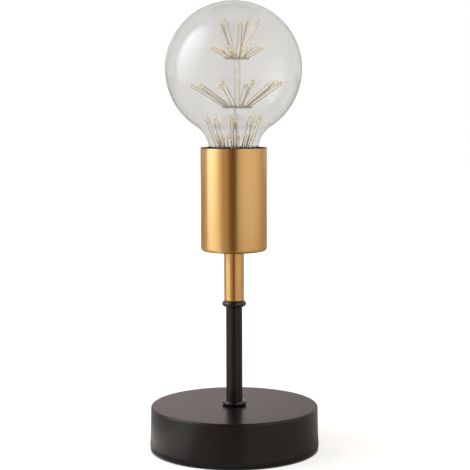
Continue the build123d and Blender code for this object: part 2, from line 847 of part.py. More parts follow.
def all_parts():
    """Every piece of the lamp by its name."""
    parts = {
        "base_cover": base_cover(),
        "foot_pad": foot_pad(),
        "base_plate": base_plate(),
        "plate_screws": plate_screws(),
        "base_weight": base_weight(),
        "cord_inlet": cord_inlet(),
        "terminal_block": terminal_block(),
        "terminal_screws": terminal_screws(),
        "block_screw": block_screw(),
        "stem_washer": washer(stem_washer_diameter, stem_washer_bottom, stem_washer_thickness),
        "stem_nut": nut(stem_nut_bottom),
        "lower_bead": bead(lower_bead_diameter, base_height, lower_bead_height),
        "stem_tube": stem_tube(),
        "upper_bead": bead(upper_bead_diameter, stem_top, upper_bead_height),
        "brass_tube": brass_tube(),
        "holder_nipple": holder_nipple(),
        "socket_cup": socket_cup(),
        "cup_washer": washer(cup_washer_diameter, cup_floor, cup_washer_thickness),
        "cup_nut": nut(cup_nut_bottom),
        "holder_dome": holder_dome(),
        "holder_insert": holder_insert(),
        "holder_posts": holder_posts(),
        "contact_tab": contact_tab(),
        "centre_contact": centre_contact(),
        "screw_shell": screw_shell(),
        "holder_skirt": holder_skirt(),
        "live_wire": inner_wire(-1),
        "neutral_wire": inner_wire(1),
        "tip_contact": tip_contact(),
        "cap_insulator": cap_insulator(),
        "bulb_cap": bulb_cap(),
        "bulb_glass": bulb_glass(),
        "driver_board": driver_board(),
        "driver_capacitor": driver_capacitor(),
        "cap_leads": cap_leads(),
        "neck_board": board(neck_board_diameter, neck_board_bottom, neck_offset),
        "middle_board": board(middle_board_diameter, middle_board_bottom, tree_offset),
        "upper_board": board(upper_board_diameter, upper_board_bottom, tree_offset),
        "stem_glass": stem_glass(),
        "support_rod": support_rod(),
        "tree_post": tree_post(),
    }
    upper_steep = led_ring(
        upper_board_top,
        tree_offset,
        upper_steep_count,
        upper_steep_root_radius,
        upper_steep_tip_radius,
        upper_steep_rise,
        upper_steep_lean,
        upper_steep_first_angle,
    )
    upper_shallow = led_ring(
        upper_board_top,
        tree_offset,
        upper_shallow_count,
        upper_shallow_root_radius,
        upper_shallow_tip_radius,
        upper_shallow_rise,
        upper_shallow_lean,
        upper_shallow_first_angle,
    )
    middle = led_ring(
        middle_board_top,
        tree_offset,
        middle_count,
        middle_root_radius,
        middle_tip_radius,
        middle_rise,
        middle_lean,
        middle_first_angle,
    )
    lower_long = led_ring(
        neck_board_top,
        neck_offset,
        lower_long_count,
        lower_long_root_radius,
        lower_long_tip_radius,
        lower_long_rise,
        lower_long_lean,
        lower_long_first_angle,
    )
    lower_short = led_ring(
        neck_board_top,
        neck_offset,
        lower_short_count,
        lower_short_root_radius,
        lower_short_tip_radius,
        lower_short_rise,
        lower_short_lean,
        lower_short_first_angle,
    )
    add_tier(parts, "upper", upper_steep, upper_shallow)
    add_tier(parts, "middle", middle)
    add_tier(parts, "lower", lower_long, lower_short)
    return parts


os.makedirs("parts", exist_ok=True)
for part_name, part_shape in all_parts().items():
    export_step(part_shape, f"parts/{part_name}.step")
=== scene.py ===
import json
from collections import namedtuple
from math import pi, radians

import bmesh
import bpy
import numpy as np
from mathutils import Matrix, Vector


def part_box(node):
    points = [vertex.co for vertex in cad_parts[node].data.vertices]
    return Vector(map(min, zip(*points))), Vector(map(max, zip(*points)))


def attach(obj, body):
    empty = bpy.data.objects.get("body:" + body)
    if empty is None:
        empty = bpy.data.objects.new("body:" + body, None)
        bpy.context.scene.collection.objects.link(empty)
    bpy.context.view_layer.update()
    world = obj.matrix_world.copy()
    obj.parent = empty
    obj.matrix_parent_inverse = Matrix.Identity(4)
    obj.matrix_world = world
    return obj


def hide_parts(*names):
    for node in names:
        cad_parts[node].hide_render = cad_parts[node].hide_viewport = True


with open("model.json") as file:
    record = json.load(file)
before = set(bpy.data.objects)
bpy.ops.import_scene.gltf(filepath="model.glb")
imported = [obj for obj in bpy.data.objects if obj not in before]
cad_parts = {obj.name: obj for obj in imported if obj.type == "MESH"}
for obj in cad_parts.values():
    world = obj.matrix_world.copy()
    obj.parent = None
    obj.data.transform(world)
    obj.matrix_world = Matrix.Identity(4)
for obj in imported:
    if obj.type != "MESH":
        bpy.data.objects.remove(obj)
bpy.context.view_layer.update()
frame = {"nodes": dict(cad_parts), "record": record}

bl_info = {
    "name": "Desk lamp with a clear globe bulb",
    "version": (1, 0, 0),
    "blender": (4, 5, 0),
    "location": "View3D > Sidebar > Desk lamp",
    "description": "Dresses the lamp's frame with its surfaces, finishes and studio",
    "category": "Object",
}

MM = 0.001
MICRON = 1e-6
WHITE = (1.0, 1.0, 1.0, 1.0)
# Points nearer than this, in metres, are one point
WELD = 1e-7
# Edges that turn by more degrees than this look sharp
SHARP = 38.0
# A rounded edge has at least this many steps, and none that turns further than this
LEAST_STEPS = 4
WIDEST_STEP = radians(9)
# Facets in one turn of the turned pieces that don't take the lamp's steps around
FACETS = {
    "drill": 48, "bush": 64, "stem": 96, "skirt": 128, "thread": 144, "board": 64,
    "column": 48, "wire": 24, "led": 20, "solder": 12, "globe": 192,
}
# Corners of a square round its middle
SQUARE = ((-1, -1), (1, -1), (1, 1), (-1, 1))
# Colour inputs and colour output of a Mix node
MIX_A, MIX_B, MIX_COLOUR = 6, 7, 2
# Most of a noise lies between these values
NOISE_RANGE = (0.25, 0.75)
FIRST_LED = "Angle of this ring's first LED"
LED_COUNT = "How many LEDs this ring has"


def linear(colour):
    """Linear RGBA of an sRGB hex colour: c / 12.92 up to 0.04045, and ((c + 0.055) / 1.055) ^ 2.4 above."""
    share = np.array([int(colour[i : i + 2], 16) for i in (1, 3, 5)]) / 255
    rgb = np.where(share <= 0.04045, share / 12.92, ((share + 0.055) / 1.055) ** 2.4)
    return (*rgb.tolist(), 1.0)


def length(label, text, millimetres):
    """A length property, written in millimetres and kept in metres."""
    return bpy.props.FloatProperty(
        name=label, description=text, default=millimetres * MM, min=0.0, unit="LENGTH", precision=5
    )


def angle(label, text, value):
    """An angle property in radians."""
    return bpy.props.FloatProperty(name=label, description=text, default=value, subtype="ANGLE")


def count(label, text, value, least=1):
    """A property that counts."""
    return bpy.props.IntProperty(name=label, description=text, default=value, min=least)


def level(label, text, value):
    """A brightness property."""
    return bpy.props.FloatProperty(name=label, description=text, default=value, min=0.0)


def tint(label, text, colour):
    """A colour property from an sRGB hex value."""
    return bpy.props.FloatVectorProperty(
        name=label, description=text, default=linear(colour), size=4, min=0.0, max=1.0, subtype="COLOR"
    )


def ring_size(label, text, root, tip, rise, lean):
    """Root radius, tip radius, rise and sideways lean of a ring of LEDs, written in millimetres."""
    sizes = (root * MM, tip * MM, rise * MM, lean * MM)
    return bpy.props.FloatVectorProperty(
        name=label, description=text, default=sizes, size=4, unit="LENGTH", precision=5
    )


class LampSizes(bpy.types.PropertyGroup):
    """Sizes of the turned pieces that the frame's boxes don't give."""

    steps_around: count("Steps around", "Facets in one turn of a large turned piece", 160, 24)
    base_wall: length("Base wall", "Sheet thickness of the base cover", 1.2)
    base_edge: length("Base edge", "Rounding of the base's top edge", 1.5)
    base_flare: length("Base flare", "How far the side swings out at the foot", 0.8)
    foot_roll: length("Foot roll", "How far the foot's edge rolls in", 1.3)
    foot_roll_height: length("Foot roll height", "Height over which the foot's edge rolls in", 4.2)
    base_lean: length("Base taper", "How much wider the foot is than the top, in radius", 0.5)
    pad_edge: length("Pad edge", "Rounding of the foot pad", 0.4)
    pad_width: length("Pad width", "Width of the foot pad's ring", 10.0)
    stem_bore: length("Stem bore", "Radius of the bore for the inner wires", 3.8)
    thread_radius: length("Thread radius", "Radius of the stem's threaded ends", 4.95)
    thread_gap: length("Thread gap", "Clearance of a plain hole round a thread", 0.25)
    lower_swell: length("Lower bead swell", "How much fuller the lower bead is than its frame piece", 0.4)
    upper_swell: length("Upper bead swell", "How much wider the upper bead is than its frame piece", 0.28)
    stem_swell: length("Stem swell", "How much wider the stem is than its frame piece", 0.22)
    tube_swell: length("Tube swell", "How much wider the brass tube is than its frame piece", 0.12)
    cup_swell: length("Cup swell", "How much wider the cup is than its frame piece", 0.2)
    bead_flat: length("Bead flat", "Height of the straight part of a bead's side", 0.1)
    brass_edge: length("Brass edge", "Rounding of the brass tube's lower edge", 0.6)
    cup_wall: length("Cup wall", "Sheet thickness of the cup", 1.0)
    cup_corner: length("Cup corner", "Rounding of the cup's lower edge", 2.4)
    cup_rim: length("Cup rim", "Rounding of the cup's rim", 0.45)
    skirt_wall: length("Skirt wall", "Wall of the lampholder's skirt", 2.1)
    skirt_lip: length("Skirt lip", "Width of the skirt's lip", 5.3)
    skirt_lip_height: length("Skirt lip height", "Height of the skirt's lip", 5.0)
    skirt_edge: length("Skirt edge", "Rounding of the skirt's top edge", 1.2)
    inlet_bore: length("Inlet bore", "Radius of the cord bush's bore", 3.2)
    inlet_wall: length("Inlet wall", "Wall of the cord bush", 1.2)
    inlet_flange: length("Inlet flange", "How far the bush's flange stands out", 1.8)
    inlet_face: length("Inlet face", "How far the bush stands out of the wall", 1.55)
    inlet_depth: length("Inlet depth", "How far the bush reaches into the base", 3.45)
    inlet_barb: length("Inlet barb", "How far the bush's barb stands out", 0.5)
    inlet_barb_length: length("Inlet barb length", "Length of the bush's barb", 2.0)
    inlet_edge: length("Inlet edge", "Rounding of the bush's flange", 0.8)
    inlet_height: length("Inlet height", "Height of the cord bush above the table", 10.5)
    inlet_lean: angle("Inlet lean", "Lean of the bush with the tapered wall", 0.0165)


class BulbSizes(bpy.types.PropertyGroup):
    """Sizes of the bulb and of its screw."""

    glass_wall: length("Glass wall", "Thickness of the globe's glass", 0.9)
    glass_seat: length("Glass seat", "Radius of the glass inside the cap", 12.4)
    neck_radius: length("Neck radius", "Radius of the glass neck", 17.3)
    neck_blend: length("Neck blend", "Radius of the curve from the neck to the globe", 19.0)
    crown_drop: length("Crown drop", "How much lower than a sphere's the globe's crown is", 0.55)
    thread_pitch: length("Thread pitch", "Rise of the screw in one turn", 3.629)
    thread_depth: length("Thread depth", "Depth of the rolled thread", 1.0)
    sheet: length("Cap sheet", "Sheet thickness of the cap", 0.3)
    cap_hole: length("Cap hole", "Radius of the hole in the cap's foot", 11.0)
    thread_runout: length("Thread run-out", "Height over which the thread rises or fades", 1.4)
    cap_band: length("Cap band", "Height of the plain band above the thread", 5.0)


class TreeSizes(bpy.types.PropertyGroup):
    """Sizes of the LED tree: each ring's root radius, tip radius, rise and lean, and the LEDs."""

    upper_steep: ring_size("Upper steep", "Steep ring of the upper board", 2.8, 14.6, 27.1, 0.8)
    upper_steep_count: count("Upper steep count", LED_COUNT, 5)
    upper_steep_angle: angle("Upper steep angle", FIRST_LED, radians(10.0))
    upper_shallow: ring_size("Upper shallow", "Shallow ring of the upper board", 6.4, 19.8, 7.8, 0.0)
    upper_shallow_count: count("Upper shallow count", LED_COUNT, 6)
    upper_shallow_angle: angle("Upper shallow angle", FIRST_LED, radians(10.0))
    middle: ring_size("Middle", "Ring of the middle board", 7.7, 34.0, 17.1, -1.8)
    middle_count: count("Middle count", LED_COUNT, 10)
    middle_angle: angle("Middle angle", FIRST_LED, radians(3.0))
    lower_long: ring_size("Lower long", "Long ring of the neck's board", 6.0, 19.6, 36.8, -0.6)
    lower_long_count: count("Lower long count", LED_COUNT, 8)
    lower_long_angle: angle("Lower long angle", FIRST_LED, radians(4.0))
    lower_short: ring_size("Lower short", "Short ring of the neck's board", 3.4, 11.9, 24.3, -0.6)
    lower_short_count: count("Lower short count", LED_COUNT, 6)
    lower_short_angle: angle("Lower short angle", FIRST_LED, radians(13.5))
    led_height: length("LED height", "Height of an LED from its flange to its tip", 5.3)
    led_radius: length("LED radius", "Radius of an LED's body", 1.5)
    flange_radius: length("Flange radius", "Radius of an LED's flange", 1.8)
    flange_height: length("Flange height", "Height of an LED's flange", 1.0)
    lead_width: length("Lead width", "Width of an LED's wire", 0.5)
    lead_pitch: length("Lead pitch", "Distance between an LED's two wires", 2.54)
    lead_turn: angle("Lead turn", "How far an LED is turned about its axis", radians(40.0))
    lead_grip: length("Lead grip", "How deep a wire goes into its board", 0.5)
    board_edge: length("Board edge", "Rounding of a board's edge", 0.12)
    rod_gap: length("Rod gap", "Gap round the wire in the glass stem", 0.05)
    post_wall: length("Post wall", "Wall of the clear tube", 0.6)
    solder_foot: length("Solder foot", "Radius of a solder joint on the board", 0.75)
    solder_height: length("Solder height", "Height of a solder joint", 0.7)


class LampColours(bpy.types.PropertyGroup):
    """Main colours of the finishes and of the studio."""

    coat: tint("Powder coat", "Black semi-gloss powder coat", "#171312")
    brass: tint("Satin brass", "Turned and lacquered brass", "#f6c168")
    nickel: tint("Nickel", "Nickel plate of the screw cap", "#c9c2b4")
    zinc: tint("Zinc", "Zinc-plated steel", "#b9bcbf")
    glass: tint("Glass", "Clear glass of the globe", "#ebeae8")
    glass_edge: tint("Glass edge", "Colour of the glass seen along its wall", "#e4ebe7")
    resin: tint("LED resin", "Clear epoxy with a warm tint", "#fefaf0")
    laminate: tint("Board", "Glass-fibre laminate", "#c2b9a0")
    wire: tint("Wire", "Tinned wire of the LEDs", "#ebdcbc")
    floor: tint("Floor", "Pale grey floor", "#c4c3c1")
    softbox: tint("Softbox", "White of the left softbox", "#eef2fc")
    room: tint("Room", "Warm white of the room's walls", "#fff7ef")
    fill: tint("Fill", "Warm white of the right fill", "#fff3e2")
    curtain: tint("Curtain", "Warm tint of the curtain at the front left", "#ffe2c2")
    cloth: tint("Cloth", "Brown tint of the dark cloth", "#ffc080")
    backdrop: tint("Backdrop", "Warm white of the backdrop", "#fff0ea")


class StudioLevels(bpy.types.PropertyGroup):
    """Levels of the studio, where 1 is white."""

    room: level("Room", "Level of the room's walls", 0.42)
    back_wall: level("Back wall", "How much brighter the room's back wall is than its other walls", 1.7)
    left_box: level("Left softbox", "Level of the left softbox", 4.25)
    right_box: level("Right fill", "Level of the right fill", 1.08)
    mirrored: level("Mirrored", "Share of the left softbox that the globe's far wall mirrors", 0.75)
    bounce: level("Bounce board", "Level of the white board on the floor at the left", 1.0)
    flag: level("Front flag", "Level of the dark cloth in front", 0.09)
    ceiling: level("Ceiling", "Level of the dark cloth above", 0.02)
    backdrop: level("Backdrop", "Level of the backdrop's middle", 0.94)
    backdrop_foot: level("Backdrop foot", "Level of the backdrop's edges", 0.35)
    floor_near: level("Floor near", "How much whiter the floor looks to the camera by the lamp", 0.7)
    floor_far: level("Floor far", "How much whiter the floor looks to the camera far away", 0.95)
    floor_glass: level("Floor through glass", "Share of that white that shows through glass", 0.83)


def span(node):
    """Outer radius, lowest height and highest height of a round CAD node."""
    low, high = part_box(node)
    return (high[0] - low[0]) / 2, low[2], high[2]


def middle_of(node):
    """Middle of a CAD node along X."""
    low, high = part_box(node)
    return (high[0] + low[0]) / 2


def rounded(*corners):
    """Closed outline through corners of (radius, height, rounding).

    A corner P with rounding q becomes an arc: with u and v the unit vectors to its neighbours and h half the
    angle between them, the centre lies q / sin h from P along u + v, and the arc runs between the two points
    q / tan h from P.
    """
    points = np.array([(corner[0], corner[1]) for corner in corners], dtype=float)
    roundings = [corner[2] if len(corner) > 2 else 0.0 for corner in corners]
    rows = []
    for index, rounding in enumerate(roundings):
        corner = points[index]
        if rounding <= 0:
            rows.append(corner[None])
            continue
        back = points[index - 1] - corner
        ahead = points[(index + 1) % len(points)] - corner
        back = back / np.linalg.norm(back)
        ahead = ahead / np.linalg.norm(ahead)
        half = np.arccos(np.clip(back @ ahead, -1, 1)) / 2
        middle = (back + ahead) / np.linalg.norm(back + ahead)
        centre = corner + middle * rounding / np.sin(half)
        start = corner + back * rounding / np.tan(half) - centre
        end = corner + ahead * rounding / np.tan(half) - centre
        sweep = pi - 2 * half
        steps = max(LEAST_STEPS, int(np.ceil(sweep / WIDEST_STEP)))
        share = np.linspace(0, 1, steps + 1)[:, None]
        arc = np.sin((1 - share) * sweep) * start + np.sin(share * sweep) * end
        rows.append(centre + arc / np.sin(sweep))
    return np.concatenate(rows)


def grid_faces(rows, columns, loop_rows, loop_columns):
    """Quads of a grid: cell (i, j) has the corners (i, j), (i, j + 1), (i + 1, j + 1) and (i + 1, j)."""
    index = np.arange(rows * columns).reshape(rows, columns)
    if loop_rows:
        index = np.concatenate([index, index[:1]], axis=0)
    if loop_columns:
        index = np.concatenate([index, index[:, :1]], axis=1)
    cells = np.stack([index[:-1, :-1], index[:-1, 1:], index[1:, 1:], index[1:, :-1]], axis=-1)
    return cells.reshape(-1, 4)


def turned(outline, steps, loop=True):
    """Turned body: outline point (r, z) at angle a becomes (r cos a, r sin a, z).

    The outline runs anticlockwise, and is closed where it loops.
    """
    angles = np.linspace(0, 2 * pi, steps, endpoint=False)
    radius = outline[:, 0, None]
    height = np.broadcast_to(outline[:, 1, None], (len(outline), steps))
    points = np.stack([radius * np.cos(angles), radius * np.sin(angles), height], axis=-1)
    return points.reshape(-1, 3), grid_faces(len(outline), steps, loop, True)


def bar(heights, left, right, half):
    """Four-sided bar along Z, closed at its ends.

    At each height it is a rectangle from left to right in X and from -half to half in Y.
    """
    heights, left, right, half = np.broadcast_arrays(heights, left, right, half)
    middle = (left + right) / 2
    reach = (right - left) / 2
    ends = np.concatenate([[0.0], np.ones(len(heights)), [0.0]])
    rows = np.concatenate([[0], np.arange(len(heights)), [len(heights) - 1]])
    corner_x, corner_y = np.array(SQUARE).T
    x = middle[rows, None] + ends[:, None] * reach[rows, None] * corner_x
    y = ends[:, None] * half[rows, None] * corner_y
    z = np.broadcast_to(heights[rows, None], x.shape)
    return np.stack([x, y, z], axis=-1).reshape(-1, 3), grid_faces(len(rows), 4, False, True)


def smooth_step(value, low, high):
    """Smooth rise from 0 at low to 1 at high: 3 t^2 - 2 t^3."""
    share = np.clip((value - low) / (high - low), 0, 1)
    return share * share * (3 - 2 * share)


def shifted(shape, x):
    """A shape moved along X."""
    points, faces = shape
    return points + np.array([x, 0.0, 0.0]), faces


def copies(shape, origins, axes):
    """Copies of a shape: point p at origin o with axes A becomes o + A p."""
    points, faces = shape
    placed = origins[:, None, :] + np.einsum("kab,mb->kma", axes, points)
    offsets = np.arange(len(origins))[:, None, None] * len(points)
    return placed.reshape(-1, 3), (faces[None] + offsets).reshape(-1, faces.shape[1])


def joined(shapes):
    """Several quad shapes as one: each one's faces count on from the points before it."""
    starts = np.cumsum([0] + [len(points) for points, faces in shapes[:-1]])
    all_points = np.concatenate([points for points, faces in shapes])
    all_faces = np.concatenate([shape[1] + start for shape, start in zip(shapes, starts)])
    return all_points, all_faces


def closed_mesh(name, shape, outwards=False):
    """Mesh of a shape with its seams and poles closed, and its faces turned outwards where that is asked."""
    points, faces = shape
    mesh = bpy.data.meshes.new(name)
    mesh.from_pydata(points.tolist(), [], faces.tolist())
    work = bmesh.new()
    work.from_mesh(mesh)
    bmesh.ops.remove_doubles(work, verts=work.verts, dist=WELD)
    if outwards:
        bmesh.ops.recalc_face_normals(work, faces=work.faces)
    work.to_mesh(mesh)
    work.free()
    return mesh


def make_piece(name, shape, body, slot, nodes=(), sharp=SHARP, finish=None):
    """Makes a piece of a shape that rides on a body, in place of CAD nodes.

    Its finish is its slot's, unless another is named.
    """
    mesh = closed_mesh(name, shape)
    mesh.shade_smooth()
    mesh.set_sharp_from_angle(angle=radians(sharp))
    mesh.materials.append(finish_of(finish or slot))
    piece = bpy.data.objects.new(name, mesh)
    bpy.context.scene.collection.objects.link(piece)
    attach(piece, body)
    if nodes:
        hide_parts(*nodes)
    return piece


def cut_hole(piece, shape):
    """Cuts a closed shape out of a piece."""
    drill = bpy.data.objects.new("drill", closed_mesh("drill", shape, outwards=True))
    bpy.context.scene.collection.objects.link(drill)
    hole = piece.modifiers.new("hole", "BOOLEAN")
    hole.operation = "DIFFERENCE"
    hole.solver = "EXACT"
    hole.object = drill
    graph = bpy.context.evaluated_depsgraph_get()
    piece.data = bpy.data.meshes.new_from_object(piece.evaluated_get(graph))
    piece.modifiers.clear()
    piece.data.set_sharp_from_angle(angle=radians(SHARP))
    bpy.data.objects.remove(drill)


def add_node(tree, kind, settings=None, links=None):
    """Adds one shader node, sets its attributes and input values, and links its inputs from other outputs."""
    node = tree.nodes.new("ShaderNode" + kind)
    for key, value in (settings or {}).items():
        if isinstance(key, int) or key in node.inputs:
            node.inputs[key].default_value = value
        else:
            setattr(node, key, value)
    for key, source in (links or {}).items():
        tree.links.new(source, node.inputs[key])
    return node


def new_material(name):
    """A material with an empty tree."""
    material = bpy.data.materials.new(name)
    material.use_nodes = True
    material.node_tree.nodes.clear()
    return material, material.node_tree


def shade(colour, share):
    """A colour times a share."""
    return (colour[0] * share, colour[1] * share, colour[2] * share, 1.0)


def colour_of(entry):
    """Linear colour of an sRGB hex value, or of a named colour property times a share."""
    if isinstance(entry, str):
        return linear(entry)
    name, share = entry
    return shade(getattr(bpy.context.scene.lamp_colours, name), share)


def socket_values(sockets):
    """Values of a shader's sockets: numbers stay as they are, and colours become linear."""
    return {key: value if isinstance(value, float) else colour_of(value) for key, value in sockets.items()}


# Painted glow: a faint emission in place of the light that clear resin scatters inside itself, which makes an
# LED look pale, though the LEDs are not lit
PAINTED_GLOW = {"Emission Color": "#fff3dc", "Emission Strength": 0.07}

# A finish has a pale and a dark colour, a grain in mm, a roughness and its swing, a relief in microns and a
# share of metal. Its pattern may be stretched along X, Y and Z, or follow grooves round the Z axis. It may
# set more sockets of its shader.
Finish = namedtuple(
    "Finish",
    "name pale dark grain roughness swing relief metallic stretch grooves sockets",
    defaults=(0.0, (1, 1, 1), False, {}),
)
FINISHES = {
    # Baked polyester powder flows into a faint orange peel and a soft gloss. The peel's real waves are about
    # 1 mm; they are drawn at 2.4 mm so that they show.
    "black_paint": Finish("powder_coated_steel", ("coat", 1.1), ("coat", 0.9), 2.4, 0.25, 0.02, 0.6),
    # Enamel on the small turned rings: the same black, but smooth and bright where it faces a light
    "gloss_paint": Finish(
        "stove_enamel", ("coat", 0.8), ("coat", 0.7), 2.4, 0.2, 0.02, 0.3,
        sockets={"Coat Weight": 0.55, "Coat Roughness": 0.13},
    ),
    # Turned with fine abrasive, so grooves run round the axis, and lacquered. The real grooves are about
    # 0.1 mm; they are drawn at 0.5 mm, and far longer round the axis.
    "satin_brass": Finish(
        "satin_turned_brass", ("brass", 1.05), ("brass", 0.93), 0.5, 0.39, 0.04, 1.5, 1.0,
        stretch=(0.02, 0.02, 1),
        grooves=True,
        sockets={
            "Anisotropic": 0.9,
            "Anisotropic Rotation": 0.25,
            "Coat Weight": 1.0,
            "Coat IOR": 2.0,
            "Coat Roughness": 0.2,
            "Specular Tint": ("brass", 1.1),
        },
    ),
    # Inside the cup and on its rim: dull dark brown, painted shade for the shadowed inner wall and the rim's
    # dark edge
    "shaded_brass": Finish("oxidised_brass", "#55401f", "#3a2b15", 1.0, 0.6, 0.08, 4.0, 0.7),
    # Rolled thread with a bright, slightly hazy plate
    "nickel_plate": Finish(
        "nickel_plated_sheet", ("nickel", 1.05), ("nickel", 0.85), 2.0, 0.24, 0.06, 2.0, 1.0
    ),
    # Bright blue-grey passivation with cloudy patches
    "zinc_steel": Finish("zinc_plated_steel", ("zinc", 1.05), ("zinc", 0.8), 3.0, 0.36, 0.08, 3.0, 1.0),
    # Sand-cast skin: dark grey and grainy
    "cast_iron": Finish("sand_cast_iron", "#585654", "#3c3a39", 1.2, 0.62, 0.1, 40.0, 0.6),
    # Fine open cells, dull black
    "pad_rubber": Finish("foamed_rubber", "#262524", "#121212", 0.9, 0.86, 0.06, 50.0),
    # Black, with a faint moulded grain
    "inlet_nylon": Finish("moulded_nylon", "#222121", "#181717", 0.8, 0.45, 0.06, 6.0),
    # Moulded terminal block: milky white
    "block_plastic": Finish("milky_polyamide", "#dcd8cc", "#cfcabb", 2.5, 0.5, 0.06, 6.0),
    # Bright, with long rolling marks
    "contact_brass": Finish(
        "stamped_brass", "#d8b068", "#b98f4a", 0.8, 0.3, 0.06, 2.0, 1.0, stretch=(1, 0.1, 1)
    ),
    # Hard black plastic with a low gloss
    "holder_plastic": Finish("moulded_thermoset", "#201f1e", "#161515", 1.2, 0.34, 0.05, 5.0),
    # Cream ceramic under a thin glaze
    "porcelain": Finish("glazed_steatite", "#ece6d8", "#ddd5c2", 4.0, 0.2, 0.05, 10.0),
    # Extruded insulation, brown and blue, with a soft shine
    "brown_insulation": Finish("brown_pvc", "#5b3620", "#4a2a18", 1.5, 0.42, 0.05, 5.0),
    "blue_insulation": Finish("blue_pvc", "#1f52a8", "#184389", 1.5, 0.42, 0.05, 5.0),
    # Solidified metal: grey, with a frosted skin
    "solder": Finish("frosted_solder", "#b4b4b2", "#8e8e8c", 0.7, 0.4, 0.1, 10.0, 1.0),
    # Pressed insulator of the cap: deep gloss
    "black_glass": Finish("pressed_black_glass", "#151416", "#0d0c0e", 2.0, 0.14, 0.04, 4.0),
    # Shrunk on the capacitor: glossy and dark
    "capacitor_sleeve": Finish("shrink_sleeve", "#20222a", "#181a20", 1.5, 0.28, 0.05, 4.0),
    # Soft grey-brown metal, dulled by heat in places
    "tinned_wire": Finish("tinned_wire", ("wire", 1.15), ("wire", 0.7), 1.8, 0.34, 0.08, 1.0, 0.7),
    # Lead frame inside an LED: pale and creamy, with a painted glow like that of the resin round it
    "silver_frame": Finish(
        "silver_plated_frame", "#fbf3df", "#f2e4c2", 0.8, 0.4, 0.05, 1.0, 0.1, sockets=PAINTED_GLOW
    ),
    # Olive grey, with the weave, about 0.9 mm, just showing through the resin
    "board_laminate": Finish("fibre_laminate", ("laminate", 1.15), ("laminate", 0.8), 0.9, 0.4, 0.06, 4.0),
}

# A clear finish has a colour, a roughness and other sockets of its shader. Where it has an edge colour, it
# runs to that from the start share of turning away on.
Clear = namedtuple("Clear", "name colour roughness sockets edge start", defaults=(None, 0.0))
CLEAR_FINISHES = {
    # Blown soda-lime glass: smooth and clear, with a faint grey tint that stays even up to its rim
    "clear_glass": Clear("blown_soda_glass", ("glass", 1.0), 0.0, {"IOR": 1.54}, ("glass_edge", 1.0), 0.4),
    # Drawn tube and stem: clear, with a dark line painted along each edge as shade, where the walls turn from
    # the eye
    "drawn_glass": Clear("drawn_clear_tube", "#fefcf7", 0.0, {"IOR": 1.5}, ("resin", 0.02), 0.25),
    # Cast epoxy of an LED: clear, with one warm tint all through, and a little milky from a painted glow
    "led_resin": Clear(
        "cast_epoxy", ("resin", 1.0), 0.08, {"IOR": 1.25, "Transmission Weight": 0.75, **PAINTED_GLOW}
    ),
}
made_finishes = {}


def surface(finish):
    """Surface whose colour, roughness and relief follow one noise of the finish's grain.

    The colour runs from dark to pale, the roughness swings round its middle, and the relief is a height.
    Grooves round the Z axis spread reflections along that axis.
    """
    material, tree = new_material(finish.name)
    place = add_node(tree, "TexCoord")
    scale = tuple(part / (finish.grain * MM) for part in finish.stretch)
    mapping = add_node(tree, "Mapping", {"Scale": scale}, {"Vector": place.outputs["Object"]})
    settings = {"Scale": 1.0, "Detail": 3.0, "Roughness": 0.55}
    noise = add_node(tree, "TexNoise", settings, {"Vector": mapping.outputs["Vector"]})
    height = noise.outputs["Fac"]
    settings = {"data_type": "RGBA", MIX_A: colour_of(finish.dark), MIX_B: colour_of(finish.pale)}
    colour = add_node(tree, "Mix", settings, {0: height})
    low, high = NOISE_RANGE
    settings = {
        "From Min": low,
        "From Max": high,
        "To Min": finish.roughness - finish.swing,
        "To Max": finish.roughness + finish.swing,
    }
    rough = add_node(tree, "MapRange", settings, {"Value": height})
    settings = {"Strength": 1.0, "Distance": finish.relief * MICRON}
    bump = add_node(tree, "Bump", settings, {"Height": height})
    links = {
        "Base Color": colour.outputs[MIX_COLOUR],
        "Roughness": rough.outputs["Result"],
        "Normal": bump.outputs["Normal"],
    }
    if finish.grooves:
        round_axis = add_node(tree, "Tangent", {"direction_type": "RADIAL", "axis": "Z"})
        links["Tangent"] = round_axis.outputs["Tangent"]
    values = {"Metallic": finish.metallic, **socket_values(finish.sockets)}
    shader = add_node(tree, "BsdfPrincipled", values, links)
    add_node(tree, "OutputMaterial", None, {"Surface": shader.outputs["BSDF"]})
    return material


def clear(finish):
    """Clear solid whose colour runs to its edge colour, by a smooth step, where it turns from the eye."""
    material, tree = new_material(finish.name)
    colour = colour_of(finish.colour)
    values = {"Base Color": colour, "Roughness": finish.roughness, "Transmission Weight": 1.0}
    shader = add_node(tree, "BsdfPrincipled", {**values, **socket_values(finish.sockets)})
    if finish.edge:
        turned_away = add_node(tree, "LayerWeight", {"Blend": 0.5})
        settings = {"interpolation_type": "SMOOTHSTEP", "From Min": finish.start, "From Max": 1.0}
        share = add_node(tree, "MapRange", settings, {"Value": turned_away.outputs["Facing"]})
        settings = {"data_type": "RGBA", MIX_A: colour, MIX_B: colour_of(finish.edge)}
        tinted = add_node(tree, "Mix", settings, {0: share.outputs["Result"]})
        tree.links.new(tinted.outputs[MIX_COLOUR], shader.inputs["Base Color"])
    add_node(tree, "OutputMaterial", None, {"Surface": shader.outputs["BSDF"]})
    return material


def finish_of(name):
    """The material of a finish, made on first use. A record slot has a finish of its own name."""
    if name not in made_finishes:
        if name in CLEAR_FINISHES:
            made_finishes[name] = clear(CLEAR_FINISHES[name])
        else:
            made_finishes[name] = surface(FINISHES[name])
    return made_finishes[name]


class LAMP_OT_inner(bpy.types.Operator):
    """Gives each CAD piece the finish of its slot"""

    bl_idname = "lamp.inner"
    bl_label = "Dress the frame"

    def execute(self, context):
        for row in frame["record"]["subparts"]:
            node = frame["nodes"][row["node"]]
            for place in node.material_slots:
                place.material = finish_of(row["material_slot"])
        return {"FINISHED"}


